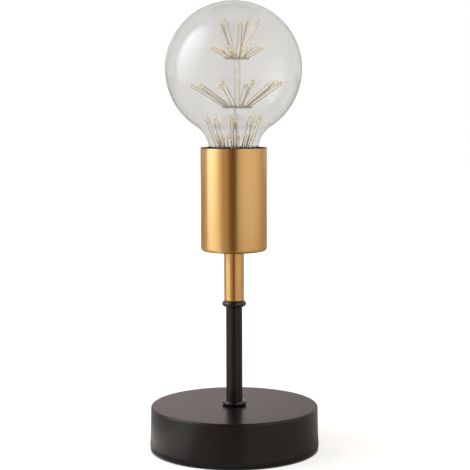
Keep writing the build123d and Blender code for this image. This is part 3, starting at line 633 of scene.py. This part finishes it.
class LAMP_OT_base(bpy.types.Operator):
    """Makes the base cover, the foot pad and the cord bush"""

    bl_idname = "lamp.base"
    bl_label = "Base"

    # Rounding of the bush's inner end
    bush_end = 0.3 * MM
    # How many walls the drill reaches to each side of the cover's outside
    drill_walls = 3
    # Power with which the flare fades upwards
    flare_power = 6
    # Shares of the height with a ring of points: first and last share and how many, rolled edge and side
    rolled_edge = (0, 0.16, 12)
    straight_side = (0.19, 0.92, 14)

    def execute(self, context):
        sizes = context.scene.lamp_sizes
        foot, rim, top = span("base_cover")
        shoulder = foot - sizes.base_lean
        wall = sizes.base_wall
        hole = sizes.thread_radius + sizes.thread_gap
        inside = rounded((hole, top - wall), (shoulder - wall, top - wall), (foot - wall, rim))
        crown = rounded((foot, rim), (shoulder, top, sizes.base_edge), (hole, top))[1:]
        cover = turned(np.concatenate([inside, self.side(sizes), crown]), 2 * sizes.steps_around)
        shell = make_piece("base_shell", cover, "lamp", "black_paint", ["base_cover"])
        self.bush(sizes, shell)

        pad, low, high = span("foot_pad")
        inner = pad - sizes.pad_width
        edge = sizes.pad_edge
        ring = rounded((inner, low, edge), (pad, low, edge), (pad, high), (inner, high))
        make_piece("foot_ring", turned(ring, sizes.steps_around), "lamp", "pad_rubber", ["foot_pad"])
        return {"FINISHED"}

    def side(self, sizes):
        """Outside of the cover: r = foot - lean s + flare (1 - s)^6 - roll (1 - sqrt(1 - u^2)).

        s is the share of the height, and u runs from 1 at the foot to 0 where the rolled edge ends.
        """
        foot, rim, top = span("base_cover")
        share = np.concatenate([np.linspace(*self.rolled_edge), np.linspace(*self.straight_side)])
        height = rim + share * (top - rim)
        left = np.clip(1 - (height - rim) / sizes.foot_roll_height, 0, 1)
        roll = sizes.foot_roll * (1 - np.sqrt(1 - left**2))
        flare = sizes.base_flare * (1 - share) ** self.flare_power
        radius = foot - sizes.base_lean * share + flare - roll
        return np.stack([radius, height], axis=-1)

    def bush(self, sizes, shell):
        """Turned bush with a flange outside and a barb inside, square to the leaning wall round it.

        Its axes are right-handed, left times up being out, so that its faces stay outwards.
        """
        foot, rim, top = span("base_cover")
        lean = sizes.inlet_lean
        share = (sizes.inlet_height - rim) / (top - rim)
        seat = np.array([[0.0, foot - share * sizes.base_lean, sizes.inlet_height]])
        left = [-1, 0, 0]
        up = [0, -np.sin(lean), np.cos(lean)]
        out = [0, np.cos(lean), np.sin(lean)]
        axes = np.array([[left, up, out]])
        bore = sizes.inlet_bore
        shank = bore + sizes.inlet_wall
        beyond = self.drill_walls * sizes.base_wall
        drill = rounded((0, -beyond), (shank, -beyond), (shank, beyond), (0, beyond))
        cut_hole(shell, copies(turned(drill, FACETS["drill"], loop=False), seat, axes))
        flange = shank + sizes.inlet_flange
        back = -sizes.inlet_depth
        barb = back + sizes.inlet_barb_length
        face = sizes.inlet_face
        outline = rounded(
            (bore, back, self.bush_end),
            (shank, back, self.bush_end),
            (shank + sizes.inlet_barb, barb),
            (shank, barb),
            (shank, 0.0),
            (flange, 0.0),
            (flange, face, sizes.inlet_edge),
            (bore, face, sizes.inlet_edge),
        )
        bush = copies(turned(outline, FACETS["bush"]), seat, axes)
        make_piece("cord_bush", bush, "lamp", "inlet_nylon", ["cord_inlet"])


class LAMP_OT_stem(bpy.types.Operator):
    """Makes the stem and its two bead rings"""

    bl_idname = "lamp.stem"
    bl_label = "Stem"

    # Share of the lower ring's width that one of its two top roundings may take
    roundest = 0.49

    def execute(self, context):
        sizes = context.scene.lamp_sizes
        hole = sizes.thread_radius + sizes.thread_gap
        stem, stem_low, stem_high = span("stem_tube")
        stem = stem + sizes.stem_swell

        radius, low, high = span("lower_bead")
        radius, high = radius + sizes.lower_swell, high + sizes.lower_swell
        rounding = min((high - low - sizes.bead_flat) / 2, self.roundest * (radius - stem))
        crease = (low + high) / 2
        shoulder = ((stem, high, rounding), (stem, crease), (hole, crease))
        self.bead("lower_bead", (hole, low), (radius, low, rounding), (radius, high, rounding), *shoulder)

        radius, low, high = span("upper_bead")
        radius = radius + sizes.upper_swell
        rounding = (high - low - sizes.bead_flat) / 2
        self.bead("upper_bead", (hole, low), (radius, low, rounding), (radius, high, rounding), (hole, high))

        thread = sizes.thread_radius
        start = span("lower_bead")[2]
        end = span("upper_bead")[1]
        tube = rounded(
            (sizes.stem_bore, stem_low),
            (thread, stem_low),
            (thread, start),
            (stem, start),
            (stem, end),
            (thread, end),
            (thread, stem_high),
            (sizes.stem_bore, stem_high),
        )
        make_piece("stem_sleeve", turned(tube, FACETS["stem"]), "lamp", "black_paint", ["stem_tube"])
        return {"FINISHED"}

    def bead(self, node, *corners):
        """Enamelled ring turned from an outline's corners."""
        ring = turned(rounded(*corners), FACETS["stem"])
        name = node.replace("bead", "bead_ring")
        make_piece(name, ring, "lamp", "black_paint", [node], finish="gloss_paint")


class LAMP_OT_brass(bpy.types.Operator):
    """Makes the brass tube and the brass cup"""

    bl_idname = "lamp.brass"
    bl_label = "Brass cup and tube"

    def execute(self, context):
        sizes = context.scene.lamp_sizes
        hole = sizes.thread_radius + sizes.thread_gap
        radius, low, high = span("brass_tube")
        radius = radius + sizes.tube_swell
        tube = rounded((hole, low), (radius, low, sizes.brass_edge), (radius, high), (hole, high))
        make_piece("brass_pipe", turned(tube, FACETS["stem"]), "lamp", "satin_brass", ["brass_tube"])

        radius, low, high = span("socket_cup")
        inner = radius - sizes.cup_wall
        radius = radius + sizes.cup_swell
        floor = low + sizes.cup_wall
        cup = rounded(
            (hole, low),
            (radius, low, sizes.cup_corner),
            (radius, high, sizes.cup_rim),
            (inner, high, sizes.cup_rim),
            (inner, floor, sizes.cup_corner - sizes.cup_wall),
            (hole, floor),
        )
        cup = turned(cup, sizes.steps_around)
        shell = make_piece("brass_cup", cup, "lamp", "satin_brass", ["socket_cup"])
        # The faces inside the cup and on its rim take the dark brown finish, which is painted shade
        shell.data.materials.append(finish_of("shaded_brass"))
        centres = np.zeros(3 * len(shell.data.polygons))
        shell.data.polygons.foreach_get("center", centres)
        x, y, z = centres.reshape(-1, 3).T
        inside = np.hypot(x, y) < inner + sizes.cup_wall / 2
        bare = (inside & (z > floor - sizes.cup_wall / 2)) | (z > high - sizes.cup_rim)
        shell.data.polygons.foreach_set("material_index", bare.astype(np.int32))
        return {"FINISHED"}


class LAMP_OT_holder(bpy.types.Operator):
    """Makes the lampholder's skirt, which shows inside the cup"""

    bl_idname = "lamp.holder"
    bl_label = "Lampholder"

    def execute(self, context):
        sizes = context.scene.lamp_sizes
        radius, low, high = span("holder_skirt")
        seat = radius - sizes.skirt_wall
        lip = radius - sizes.skirt_lip
        under = high - sizes.skirt_lip_height
        skirt = rounded(
            (seat, low),
            (radius, low),
            (radius, high, sizes.skirt_edge),
            (lip, high, sizes.cup_rim),
            (lip, under),
            (seat, under),
        )
        skirt = turned(skirt, FACETS["skirt"])
        make_piece("holder_collar", skirt, "lamp", "holder_plastic", ["holder_skirt"])
        return {"FINISHED"}


class LAMP_OT_cap(bpy.types.Operator):
    """Makes the bulb's screw cap with its rolled thread"""

    bl_idname = "lamp.cap"
    bl_label = "Screw cap"

    # Rings of points over the cap's height
    cap_rows = 190
    # The thread's own slopes stay smooth up to this angle in degrees
    thread_sharp = 50.0

    def execute(self, context):
        sizes = context.scene.bulb_sizes
        low, high = span("bulb_cap")[1:]
        angles = np.linspace(0, 2 * pi, FACETS["thread"], endpoint=False)
        heights = np.linspace(low, high, self.cap_rows)[:, None]
        radius = self.thread(sizes, angles, heights)

        def sheet(radii):
            """Points (r cos a, r sin a, z) of radii r over the heights z and the angles a."""
            tall = np.broadcast_to(heights, radii.shape)
            return np.stack([radii * np.cos(angles), radii * np.sin(angles), tall], axis=-1)

        foot = sheet(np.full_like(radius, sizes.cap_hole))[:1]
        seat = foot + np.array([0, 0, sizes.sheet])
        inner = sheet(radius - sizes.sheet)[::-1]
        inner[-1, :, 2] = low + sizes.sheet
        rows = np.concatenate([foot, sheet(radius), inner, seat])
        cap = (rows.reshape(-1, 3), grid_faces(len(rows), len(angles), True, True))
        make_piece("threaded_cap", cap, "bulb", "nickel_plate", ["bulb_cap"], sharp=self.thread_sharp)
        return {"FINISHED"}

    def thread(self, sizes, angles, heights):
        """Radius of the rolled sheet: r = root + depth (screw (1 + cos(2 pi z / pitch - a)) / 2 + band).

        screw rises from 0 to 1 above the foot and falls back to 0 where band rises to 1, at the plain band.
        """
        crest, low, high = span("bulb_cap")
        root = crest - sizes.thread_depth
        start = low + sizes.thread_runout
        top = high - sizes.cap_band
        band = smooth_step(heights, top - sizes.thread_runout, top)
        screw = smooth_step(heights, low, start) * (1 - band)
        wave = 0.5 + 0.5 * np.cos(2 * pi * heights / sizes.thread_pitch - angles)
        return root + sizes.thread_depth * (screw * wave + band)


# Where a ring's LEDs stand: their seats and axes, the length of their wires and their feet on the board
Ring = namedtuple("Ring", "seats axes wire feet")


class LAMP_OT_tree(bpy.types.Operator):
    """Makes the LED tree: boards, posts, LEDs, their wires and solder"""

    bl_idname = "lamp.tree"
    bl_label = "LED tree"

    tiers = {
        "upper": ("upper_board", ("upper_steep", "upper_shallow")),
        "middle": ("middle_board", ("middle",)),
        "lower": ("neck_board", ("lower_long", "lower_short")),
    }
    # Shares of an LED's flange: the straight part of its height, and its radius at the top
    flange_straight = 0.8
    flange_top = 0.96
    # Rings of points on an LED's dome
    dome_rows = 8
    # Metal inside an LED in mm: height, left and right edge of the broad cup carrier and of the narrow post,
    # and half their thickness
    cup_carrier = (
        (0.2, -1.5, -1.05),
        (0.9, -1.4, -0.85),
        (1.4, -1.05, 0.05),
        (2.2, -0.85, 0.1),
        (2.7, -0.95, 0.25),
    )
    narrow_post = ((0.2, 1.05, 1.5), (1.2, 0.85, 1.35), (2.0, 0.6, 1.0), (2.9, 0.45, 0.9))
    half_metal = 0.25
    # Heights from an LED's foot in mm: the stop on a wire widens between the first two and narrows between
    # the next two, and the wire ends at the last. The stop is this many times as wide as the wire.
    wire_heights = (-2.6, -2.4, -1.7, -1.5, 0.3)
    stop_width = 1.5
    # Rings of points on a solder joint
    solder_rows = 5

    def execute(self, context):
        sizes = context.scene.tree_sizes
        self.columns(sizes)
        resin = self.resin(sizes)
        metal = self.lead_frame()
        for tier, (board, names) in self.tiers.items():
            radius, low, high = span(board)
            edge = sizes.board_edge
            disc = rounded((0, low), (radius, low, edge), (radius, high, edge), (0, high))
            disc = shifted(turned(disc, FACETS["board"], loop=False), middle_of(board))
            make_piece(tier + "_disc", disc, "bulb", "board_laminate", [board])
            rings = [self.ring(sizes, name, board) for name in names]
            lights = joined([copies(resin, ring.seats, ring.axes) for ring in rings])
            wires = joined([copies(self.wire_pair(sizes, ring), ring.seats, ring.axes) for ring in rings])
            metals = joined([copies(metal, ring.seats, ring.axes) for ring in rings])
            joints = joined([self.solder_cones(sizes, ring) for ring in rings])
            make_piece(tier + "_lights", lights, "bulb", "led_resin", [tier + "_leds"])
            make_piece(tier + "_wires", wires, "bulb", "tinned_wire", [tier + "_leads"])
            make_piece(tier + "_frames", metals, "bulb", "tinned_wire", finish="silver_frame")
            make_piece(tier + "_solder", joints, "bulb", "solder")
        return {"FINISHED"}

    def columns(self, sizes):
        """Glass stem with a rounded tip, bare wire above it and clear tube between the upper boards."""
        rod, rod_low, rod_high = span("support_rod")
        radius, low, high = span("stem_glass")
        bore = rod + sizes.rod_gap
        stem = rounded(
            (0, low),
            (radius, low),
            (radius, high, radius - bore - sizes.rod_gap),
            (bore, high),
            (bore, rod_low),
            (0, rod_low),
        )
        stem = shifted(turned(stem, FACETS["column"], loop=False), middle_of("stem_glass"))
        make_piece("stem_column", stem, "bulb", "clear_glass", ["stem_glass"], finish="drawn_glass")
        wire = rounded((0, rod_low), (rod, rod_low), (rod, rod_high), (0, rod_high))
        wire = shifted(turned(wire, FACETS["wire"], loop=False), middle_of("support_rod"))
        make_piece("stem_wire", wire, "bulb", "tinned_wire", ["support_rod"])
        radius, low, high = span("tree_post")
        bore = radius - sizes.post_wall
        tube = rounded((bore, low), (radius, low), (radius, high), (bore, high))
        tube = shifted(turned(tube, FACETS["column"]), middle_of("tree_post"))
        make_piece("tree_tube", tube, "bulb", "clear_glass", ["tree_post"], finish="drawn_glass")

    def ring(self, sizes, name, board):
        """Where each LED of a ring stands, with its axes across the wires, square to both, and along.

        LED k leans out at angle a = first + 2 pi k / count, along the line from the root radius to the tip
        radius, and the whole ring leans along X.
        """
        root, tip, rise, lean = getattr(sizes, name)
        leds = getattr(sizes, name + "_count")
        angles = getattr(sizes, name + "_angle") + np.arange(leds) * 2 * pi / leds
        outward = np.stack([np.cos(angles), np.sin(angles), np.zeros(leds)], axis=-1)
        along = outward * (tip - root) + np.array([lean, 0, rise])
        along = along / np.linalg.norm(along, axis=-1, keepdims=True)
        flat = np.cross([0, 0, 1], along)
        flat = flat / np.linalg.norm(flat, axis=-1, keepdims=True)
        across = flat * np.cos(sizes.lead_turn) + np.cross(along, flat) * np.sin(sizes.lead_turn)
        axes = np.stack([across, np.cross(along, across), along], axis=-1)
        feet = np.array([middle_of(board), 0, span(board)[2]]) + outward * root
        wire = np.hypot(tip - root, rise) - sizes.led_height
        return Ring(feet + along * wire, axes, wire, feet)

    def resin(self, sizes):
        """Bullet of an LED: flange, straight body and a half-round dome (r cos t, spring + r sin t)."""
        body = sizes.led_radius
        flange = sizes.flange_radius
        ledge = sizes.flange_height
        spring = sizes.led_height - body
        turn = np.linspace(0, pi / 2, self.dome_rows)[:, None]
        dome = np.hstack([body * np.cos(turn), spring + body * np.sin(turn)])
        dome[-1, 0] = 0.0
        straight = ledge * self.flange_straight
        foot = [[0, 0], [flange, 0], [flange, straight], [flange * self.flange_top, ledge], [body, ledge]]
        return turned(np.concatenate([foot, dome]), FACETS["led"], loop=False)

    def lead_frame(self):
        """Metal inside an LED: two flat bars that change width upwards."""
        bars = []
        for stations in (self.cup_carrier, self.narrow_post):
            heights, left, right = np.array(stations).T * MM
            bars.append(bar(heights, left, right, self.half_metal * MM))
        return joined(bars)

    def wire_pair(self, sizes, ring):
        """Two square wires from inside the board to the LED's foot, wider at the stop below the flange.

        The turned LED's two wires meet the board at different lengths: wire plus or minus place times the
        slope a / b, with a and b the heights that a unit across and a unit along gain.
        """
        half = sizes.lead_width / 2
        place = sizes.lead_pitch / 2
        gain_across, gain_along = ring.axes[:, 2, 0].mean(), ring.axes[:, 2, 2].mean()
        reach = half * np.array([1, 1, self.stop_width, self.stop_width, 1, 1])
        upper = np.array(self.wire_heights) * MM
        bars = []
        for side in (-1, 1):
            end = -ring.wire - (side * place * gain_across + sizes.lead_grip) / gain_along
            heights = np.concatenate([[end], upper])
            bars.append(bar(heights, side * place - reach, side * place + reach, half))
        return joined(bars)

    def solder_cones(self, sizes, ring):
        """Solder fillets on the board, each from the wire to a wide foot: r = foot (1 - t)^2 + tip t."""
        across, along = ring.axes[:, :, 0], ring.axes[:, :, 2]
        apart = (across - along * across[:, 2:] / along[:, 2:]) * sizes.lead_pitch / 2
        share = np.linspace(0, 1, self.solder_rows)[:, None]
        tip = sizes.lead_width / 2
        radius = sizes.solder_foot * (1 - share) ** 2 + tip * share
        slope = np.hstack([radius, share * sizes.solder_height])
        outline = np.concatenate([[[0, 0]], slope, [[0, sizes.solder_height]]])
        spots = np.concatenate([ring.feet + side * apart for side in (-1, 1)])
        upright = np.broadcast_to(np.eye(3), (len(spots), 3, 3))
        return copies(turned(outline, FACETS["solder"], loop=False), spots, upright)


class LAMP_OT_globe(bpy.types.Operator):
    """Makes the clear globe with its neck"""

    bl_idname = "lamp.globe"
    bl_label = "Globe"

    # Rings of points on the cone above the cap, on the neck's curve and on the globe
    cone_rows = 6
    blend_rows = 20
    globe_rows = 90
    # Edges of the glass that turn by more degrees than this look sharp
    sharp = 60.0

    def execute(self, context):
        sizes = context.scene.bulb_sizes
        outside = self.wall(sizes, 0.0)
        inside = self.wall(sizes, sizes.glass_wall)[::-1]
        outside[-1, 0] = 0.0
        inside[0, 0] = 0.0
        globe = turned(np.concatenate([outside, inside]), FACETS["globe"])
        glass = make_piece("globe_glass", globe, "bulb", "clear_glass", ["bulb_glass"], sharp=self.sharp)
        glass.visible_shadow = False
        return {"FINISHED"}

    def wall(self, sizes, inset):
        """Seat, cone, blend arc about (reach, neck top) and globe arc about (0, centre), set in by the inset.

        The arcs are (r cos t, r sin t) about their centres. The crown is an ellipse, lower than the sphere.
        """
        radius, low, top = span("bulb_glass")
        centre = top - radius
        reach = sizes.neck_radius + sizes.neck_blend
        neck_top = centre - np.sqrt((radius + sizes.neck_blend) ** 2 - reach**2)
        turn = np.arctan2(centre - neck_top, reach)
        blend = np.linspace(pi, pi - turn, self.blend_rows)[:, None]
        globe = np.linspace(-turn, pi / 2, self.globe_rows)[1:, None]
        curve = sizes.neck_blend + inset
        dome = radius - inset
        rise = dome * np.sin(globe)
        rise = np.where(rise > 0, rise * (1 - sizes.crown_drop / radius), rise)
        cone = np.linspace(0, 1, self.cone_rows)[:-1, None]
        foot = np.array([[sizes.glass_seat - inset, low]])
        start = np.array([[sizes.glass_seat - inset, span("bulb_cap")[2]]])
        throat = np.array([[sizes.neck_radius - inset, neck_top]])
        return np.concatenate(
            [
                foot,
                start + (throat - start) * cone,
                np.hstack([reach + curve * np.cos(blend), neck_top + curve * np.sin(blend)]),
                np.hstack([dome * np.cos(globe), centre + rise]),
            ]
        )


# An upright card: azimuth in degrees, where 0 is the camera's side and negative is left, and in metres its
# distance, width, height and middle's height
Upright = namedtuple("Upright", "azimuth distance width height middle")


class LAMP_OT_studio(bpy.types.Operator):
    """Makes the floor, the backdrop, the lights and the camera"""

    bl_idname = "lamp.studio"
    bl_label = "Studio"

    uprights = {
        "backdrop": Upright(186.3, 1.8, 2.0, 0.9, 0.45),
        "left_softbox": Upright(-78.5, 0.91, 1.33, 2.75, 0.925),
        "right_fill": Upright(63.0, 0.95, 3.4, 2.0, 0.7),
    }
    # How softly a cloth's first side, second side, foot and top fade, as shares of the cloth
    soft = {
        "backdrop_paper": (0.55, 0.1, 0.8, 0.25),
        "left_diffuser": (0.31, 0.66, 0.55, 0.6),
        "right_diffuser": (0.4, 0.6, 0.14, 0.85),
        "bounce_board": (0.1, 0.02, 0.15, 0.55),
        "ceiling_cloth": (0.2, 0.2, 0.2, 0.2),
        "flag_foot": (0.45, 0.45, 0.3, 0.05),
        "flag_cloth": (0.1, 0.1, 0.1, 0.1),
        "curtain_cloth": (0.3, 0.01, 0.1, 0.1),
    }
    # Half sides and height of the level cards, and the bounce board's corners, in metres
    floor_size = (4.0, 4.0, 0.0)
    ceiling_size = (0.5, 1.2, 1.3)
    bounce_corners = ((-1.1, -1.0), (-0.062, -0.075), (-0.062, 0.11), (-1.1, 0.33))
    bounce_lift = 0.0004
    # Cloths in front: where they start and end, their height and lift in metres, and their sides' azimuths
    cloth_near = 0.1
    cloth_far = 0.7
    cloth_height = 1.2
    cloth_lift = 0.0005
    flag_sides = (-18.0, 10.5)
    curtain_sides = (-46.0, -18.0)
    # Level of the dark cloth's edge on the floor, as a share of the room's
    flag_edge = 0.8
    # The back wall's brightness rises between these parts of a direction's Y
    back_wall_rise = (0.1, 0.8)
    # The floor's white rises between these distances from the lamp, in metres
    floor_rise = (0.1, 0.7)
    # A ray with fewer reflections than this is a straight view
    reflections = 1.5
    # Camera's place and far limit in metres, its tilt down and roll in degrees, and its lens in mm
    camera_place = (0.001, -0.916, 0.243)
    camera_reach = 50.0
    camera_tilt = 5.65
    camera_roll = 0.157
    lens_length = 100.4
    sensor_width = 36.0

    def execute(self, context):
        scene = context.scene
        colours = scene.lamp_colours
        levels = scene.studio_levels
        scene.view_settings.view_transform = "Standard"
        self.room(scene)
        self.card("floor", self.lying(*self.floor_size), self.floor_paper(scene))

        room = shade(colours.room, levels.room)
        foot = shade(colours.backdrop, levels.backdrop_foot)
        self.upright("backdrop", "backdrop_paper", foot, shade(colours.backdrop, levels.backdrop))
        bright = shade(colours.softbox, levels.left_box)
        self.upright("left_softbox", "left_diffuser", room, bright, levels.mirrored)
        self.upright("right_fill", "right_diffuser", room, shade(colours.fill, levels.right_box))

        board = self.graded("bounce_board", room, shade(colours.room, levels.bounce))
        corners = [(x, y, self.bounce_lift) for x, y in self.bounce_corners]
        self.card("left_bounce", corners, board, gloss_only=True)
        cloth = self.graded("ceiling_cloth", room, shade(colours.cloth, levels.ceiling))
        self.card("ceiling", self.lying(*self.ceiling_size), cloth, gloss_only=True)

        dark = shade(colours.cloth, levels.flag)
        foot = self.graded("flag_foot", shade(colours.curtain, self.flag_edge * levels.room), dark)
        self.hanging("flag", self.flag_sides, self.graded("flag_cloth", dark, dark), foot)
        drape = self.graded("curtain_cloth", room, shade(colours.curtain, levels.room))
        self.hanging("curtain", self.curtain_sides, drape, drape)
        self.camera(scene)
        return {"FINISHED"}

    def lying(self, half_x, half_y, height):
        """Corners of a level card over the lamp's foot."""
        return [(x * half_x, y * half_y, height) for x, y in SQUARE]

    def upright(self, name, cloth, rim, middle, mirrored=0.0):
        """Upright graded card that faces the lamp."""
        place = self.uprights[name]
        turn = radians(place.azimuth)
        centre = np.array([place.distance * np.sin(turn), -place.distance * np.cos(turn), place.middle])
        across = np.array([np.cos(turn), np.sin(turn), 0]) * place.width / 2
        up = np.array([0, 0, place.height / 2])
        corners = [tuple(centre + x * across + z * up) for x, z in SQUARE]
        self.card(name, corners, self.graded(cloth, rim, middle, mirrored))

    def hanging(self, name, sides, cloth, foot):
        """Cloth in front between two azimuths, which lies on the floor and hangs at its far edge."""
        left, right = (np.array([np.sin(radians(side)), -np.cos(radians(side))]) for side in sides)
        near, far = self.cloth_near, self.cloth_far
        spots = (near * left, near * right, far * right, far * left)
        lying = [(*spot, self.cloth_lift) for spot in spots]
        top = [(*spot[:2], self.cloth_height) for spot in lying]
        standing = [lying[3], lying[2], top[2], top[3]]
        self.card(name + "_lying", lying, foot, gloss_only=True)
        self.card(name + "_standing", standing, cloth, gloss_only=True)

    def seen(self, tree):
        """Output that is 1 on a ray from the camera, also through glass with one reflection at most."""
        path = add_node(tree, "LightPath")
        settings = {"operation": "LESS_THAN", 1: self.reflections}
        straight = add_node(tree, "Math", settings, {0: path.outputs["Glossy Depth"]})
        links = {0: path.outputs["Is Transmission Ray"], 1: straight.outputs[0]}
        through = add_node(tree, "Math", {"operation": "MULTIPLY"}, links)
        links = {0: path.outputs["Is Camera Ray"], 1: through.outputs[0]}
        return add_node(tree, "Math", {"operation": "MAXIMUM"}, links).outputs[0]

    def room(self, scene):
        """Warm grey room with a paler back wall, which the camera and clear glass see as white."""
        world = bpy.data.worlds.new("studio_room")
        world.use_nodes = True
        tree = world.node_tree
        tree.nodes.clear()
        levels = scene.studio_levels
        wall = shade(scene.lamp_colours.room, levels.room)
        low, high = self.back_wall_rise
        place = add_node(tree, "TexCoord")
        parts = add_node(tree, "SeparateXYZ", None, {0: place.outputs["Generated"]})
        settings = {"interpolation_type": "SMOOTHSTEP", "From Min": low, "From Max": high}
        behind = add_node(tree, "MapRange", settings, {"Value": parts.outputs["Y"]})
        settings = {"data_type": "RGBA", MIX_A: wall, MIX_B: shade(wall, levels.back_wall)}
        walls = add_node(tree, "Mix", settings, {0: behind.outputs["Result"]})
        links = {0: self.seen(tree), MIX_A: walls.outputs[MIX_COLOUR]}
        colour = add_node(tree, "Mix", {"data_type": "RGBA", MIX_B: WHITE}, links)
        glow = add_node(tree, "Background", None, {"Color": colour.outputs[MIX_COLOUR]})
        add_node(tree, "OutputWorld", None, {"Surface": glow.outputs["Background"]})
        scene.world = world

    def floor_paper(self, scene):
        """Pale paper that takes the lamp's shadow, with a glow that makes it look white to the camera. The
        glow is weaker near the lamp, so that the real shadow shows there, and left out under the base, which
        paints the gap under the base's rim as dark shade.
        """
        material, tree = new_material("floor_paper")
        paper = add_node(tree, "BsdfDiffuse", {"Color": scene.lamp_colours.floor})
        levels = scene.studio_levels
        near, far = self.floor_rise
        place = add_node(tree, "TexCoord")
        reach = add_node(tree, "VectorMath", {"operation": "LENGTH"}, {0: place.outputs["Object"]})
        settings = {
            "interpolation_type": "SMOOTHSTEP",
            "From Min": near,
            "From Max": far,
            "To Min": levels.floor_near,
            "To Max": levels.floor_far,
        }
        white = add_node(tree, "MapRange", settings, {"Value": reach.outputs["Value"]})
        # No glow under the base: painted shade in the gap under its rim
        settings = {"operation": "GREATER_THAN", 1: span("base_cover")[0]}
        outside = add_node(tree, "Math", settings, {0: reach.outputs["Value"]})
        path = add_node(tree, "LightPath")
        settings = {"To Min": 1.0, "To Max": levels.floor_glass}
        glass = add_node(tree, "MapRange", settings, {"Value": path.outputs["Is Transmission Ray"]})
        strength = self.seen(tree)
        for part in (glass.outputs["Result"], outside.outputs[0], white.outputs["Result"]):
            strength = add_node(tree, "Math", {"operation": "MULTIPLY"}, {0: strength, 1: part}).outputs[0]
        glow = add_node(tree, "Emission", None, {"Strength": strength})
        both = add_node(tree, "AddShader", None, {0: paper.outputs[0], 1: glow.outputs[0]})
        add_node(tree, "OutputMaterial", None, {"Surface": both.outputs[0]})
        return material

    def graded(self, name, rim, middle, mirrored=0.0):
        """Cloth that glows from its rim colour to its middle colour, and that a straight view passes.

        The share of the middle colour is the product of four smooth steps, one for the distance to each edge.
        """
        material, tree = new_material(name)
        place = add_node(tree, "TexCoord")
        parts = add_node(tree, "SeparateXYZ", None, {0: place.outputs["UV"]})
        share = None
        for index, width in enumerate(self.soft[name]):
            axis, edge = divmod(index, 2)
            settings = {"interpolation_type": "SMOOTHSTEP", "From Min": edge, "From Max": abs(edge - width)}
            step = add_node(tree, "MapRange", settings, {"Value": parts.outputs[axis]}).outputs["Result"]
            if share:
                step = add_node(tree, "Math", {"operation": "MULTIPLY"}, {0: share, 1: step}).outputs[0]
            share = step
        settings = {"data_type": "RGBA", "clamp_result": False, MIX_A: rim, MIX_B: middle}
        colour = add_node(tree, "Mix", settings, {0: share})
        glow = add_node(tree, "Emission", None, {"Color": colour.outputs[MIX_COLOUR]})
        nothing = add_node(tree, "BsdfTransparent")
        if mirrored:
            path = add_node(tree, "LightPath")
            settings = {"operation": "MINIMUM", 1: 1.0}
            once = add_node(tree, "Math", settings, {0: path.outputs["Glossy Depth"]})
            settings = {"operation": "MULTIPLY", 1: mirrored}
            part = add_node(tree, "Math", settings, {0: once.outputs[0]})
            links = {0: part.outputs[0], 1: share}
            strength = add_node(tree, "Math", {"operation": "MULTIPLY"}, links)
            gleam = add_node(tree, "Emission", {"Color": middle}, {"Strength": strength.outputs[0]})
            nothing = add_node(tree, "AddShader", None, {0: nothing.outputs[0], 1: gleam.outputs[0]})
        links = {0: self.seen(tree), 1: glow.outputs[0], 2: nothing.outputs[0]}
        both = add_node(tree, "MixShader", None, links)
        add_node(tree, "OutputMaterial", None, {"Surface": both.outputs[0]})
        return material

    def card(self, name, corners, material, gloss_only=False):
        """One flat sheet of the stage, with its own UV square. Some show only in gloss."""
        mesh = bpy.data.meshes.new(name)
        mesh.from_pydata(corners, [], [(0, 1, 2, 3)])
        square = np.array([0, 0, 1, 0, 1, 1, 0, 1], dtype=np.float32)
        mesh.uv_layers.new(name="sheet").data.foreach_set("uv", square)
        mesh.materials.append(material)
        sheet = bpy.data.objects.new(name, mesh)
        bpy.context.scene.collection.objects.link(sheet)
        if gloss_only:
            sheet.visible_diffuse = False
            sheet.visible_shadow = False

    def camera(self, scene):
        """Camera at the height of the globe's lower half, tilted down a little."""
        lens = bpy.data.cameras.new("camera")
        lens.lens = self.lens_length
        lens.sensor_width = self.sensor_width
        lens.clip_end = self.camera_reach
        camera = bpy.data.objects.new("camera", lens)
        camera.location = self.camera_place
        camera.rotation_euler = (radians(90 - self.camera_tilt), radians(self.camera_roll), 0)
        scene.collection.objects.link(camera)
        scene.camera = camera


class LAMP_PT_panel(bpy.types.Panel):
    """Lists the lamp's pieces, sizes and colours in the sidebar"""

    bl_label = "Desk lamp"
    bl_idname = "LAMP_PT_panel"
    bl_space_type = "VIEW_3D"
    bl_region_type = "UI"
    bl_category = "Desk lamp"

    def draw(self, context):
        for operator in OPERATORS:
            self.layout.operator(operator.bl_idname)
        for name, group in GROUPS.items():
            for key in group.__annotations__:
                self.layout.prop(getattr(context.scene, name), key)


OPERATORS = (
    LAMP_OT_inner,
    LAMP_OT_base,
    LAMP_OT_stem,
    LAMP_OT_brass,
    LAMP_OT_holder,
    LAMP_OT_cap,
    LAMP_OT_tree,
    LAMP_OT_globe,
    LAMP_OT_studio,
)
GROUPS = {
    "lamp_sizes": LampSizes,
    "bulb_sizes": BulbSizes,
    "tree_sizes": TreeSizes,
    "lamp_colours": LampColours,
    "studio_levels": StudioLevels,
}


def register():
    """Adds the properties, the operators and the panel."""
    for name, group in GROUPS.items():
        bpy.utils.register_class(group)
        setattr(bpy.types.Scene, name, bpy.props.PointerProperty(type=group))
    for operator in OPERATORS:
        bpy.utils.register_class(operator)
    bpy.utils.register_class(LAMP_PT_panel)


def unregister():
    """Takes them away again."""
    bpy.utils.unregister_class(LAMP_PT_panel)
    for operator in reversed(OPERATORS):
        bpy.utils.unregister_class(operator)
    for name, group in reversed(GROUPS.items()):
        delattr(bpy.types.Scene, name)
        bpy.utils.unregister_class(group)


def main():
    register()
    bpy.ops.lamp.inner()
    bpy.ops.lamp.base()
    bpy.ops.lamp.stem()
    bpy.ops.lamp.brass()
    bpy.ops.lamp.holder()
    bpy.ops.lamp.cap()
    bpy.ops.lamp.tree()
    bpy.ops.lamp.globe()
    bpy.ops.lamp.studio()


if __name__ == "__main__":
    main()
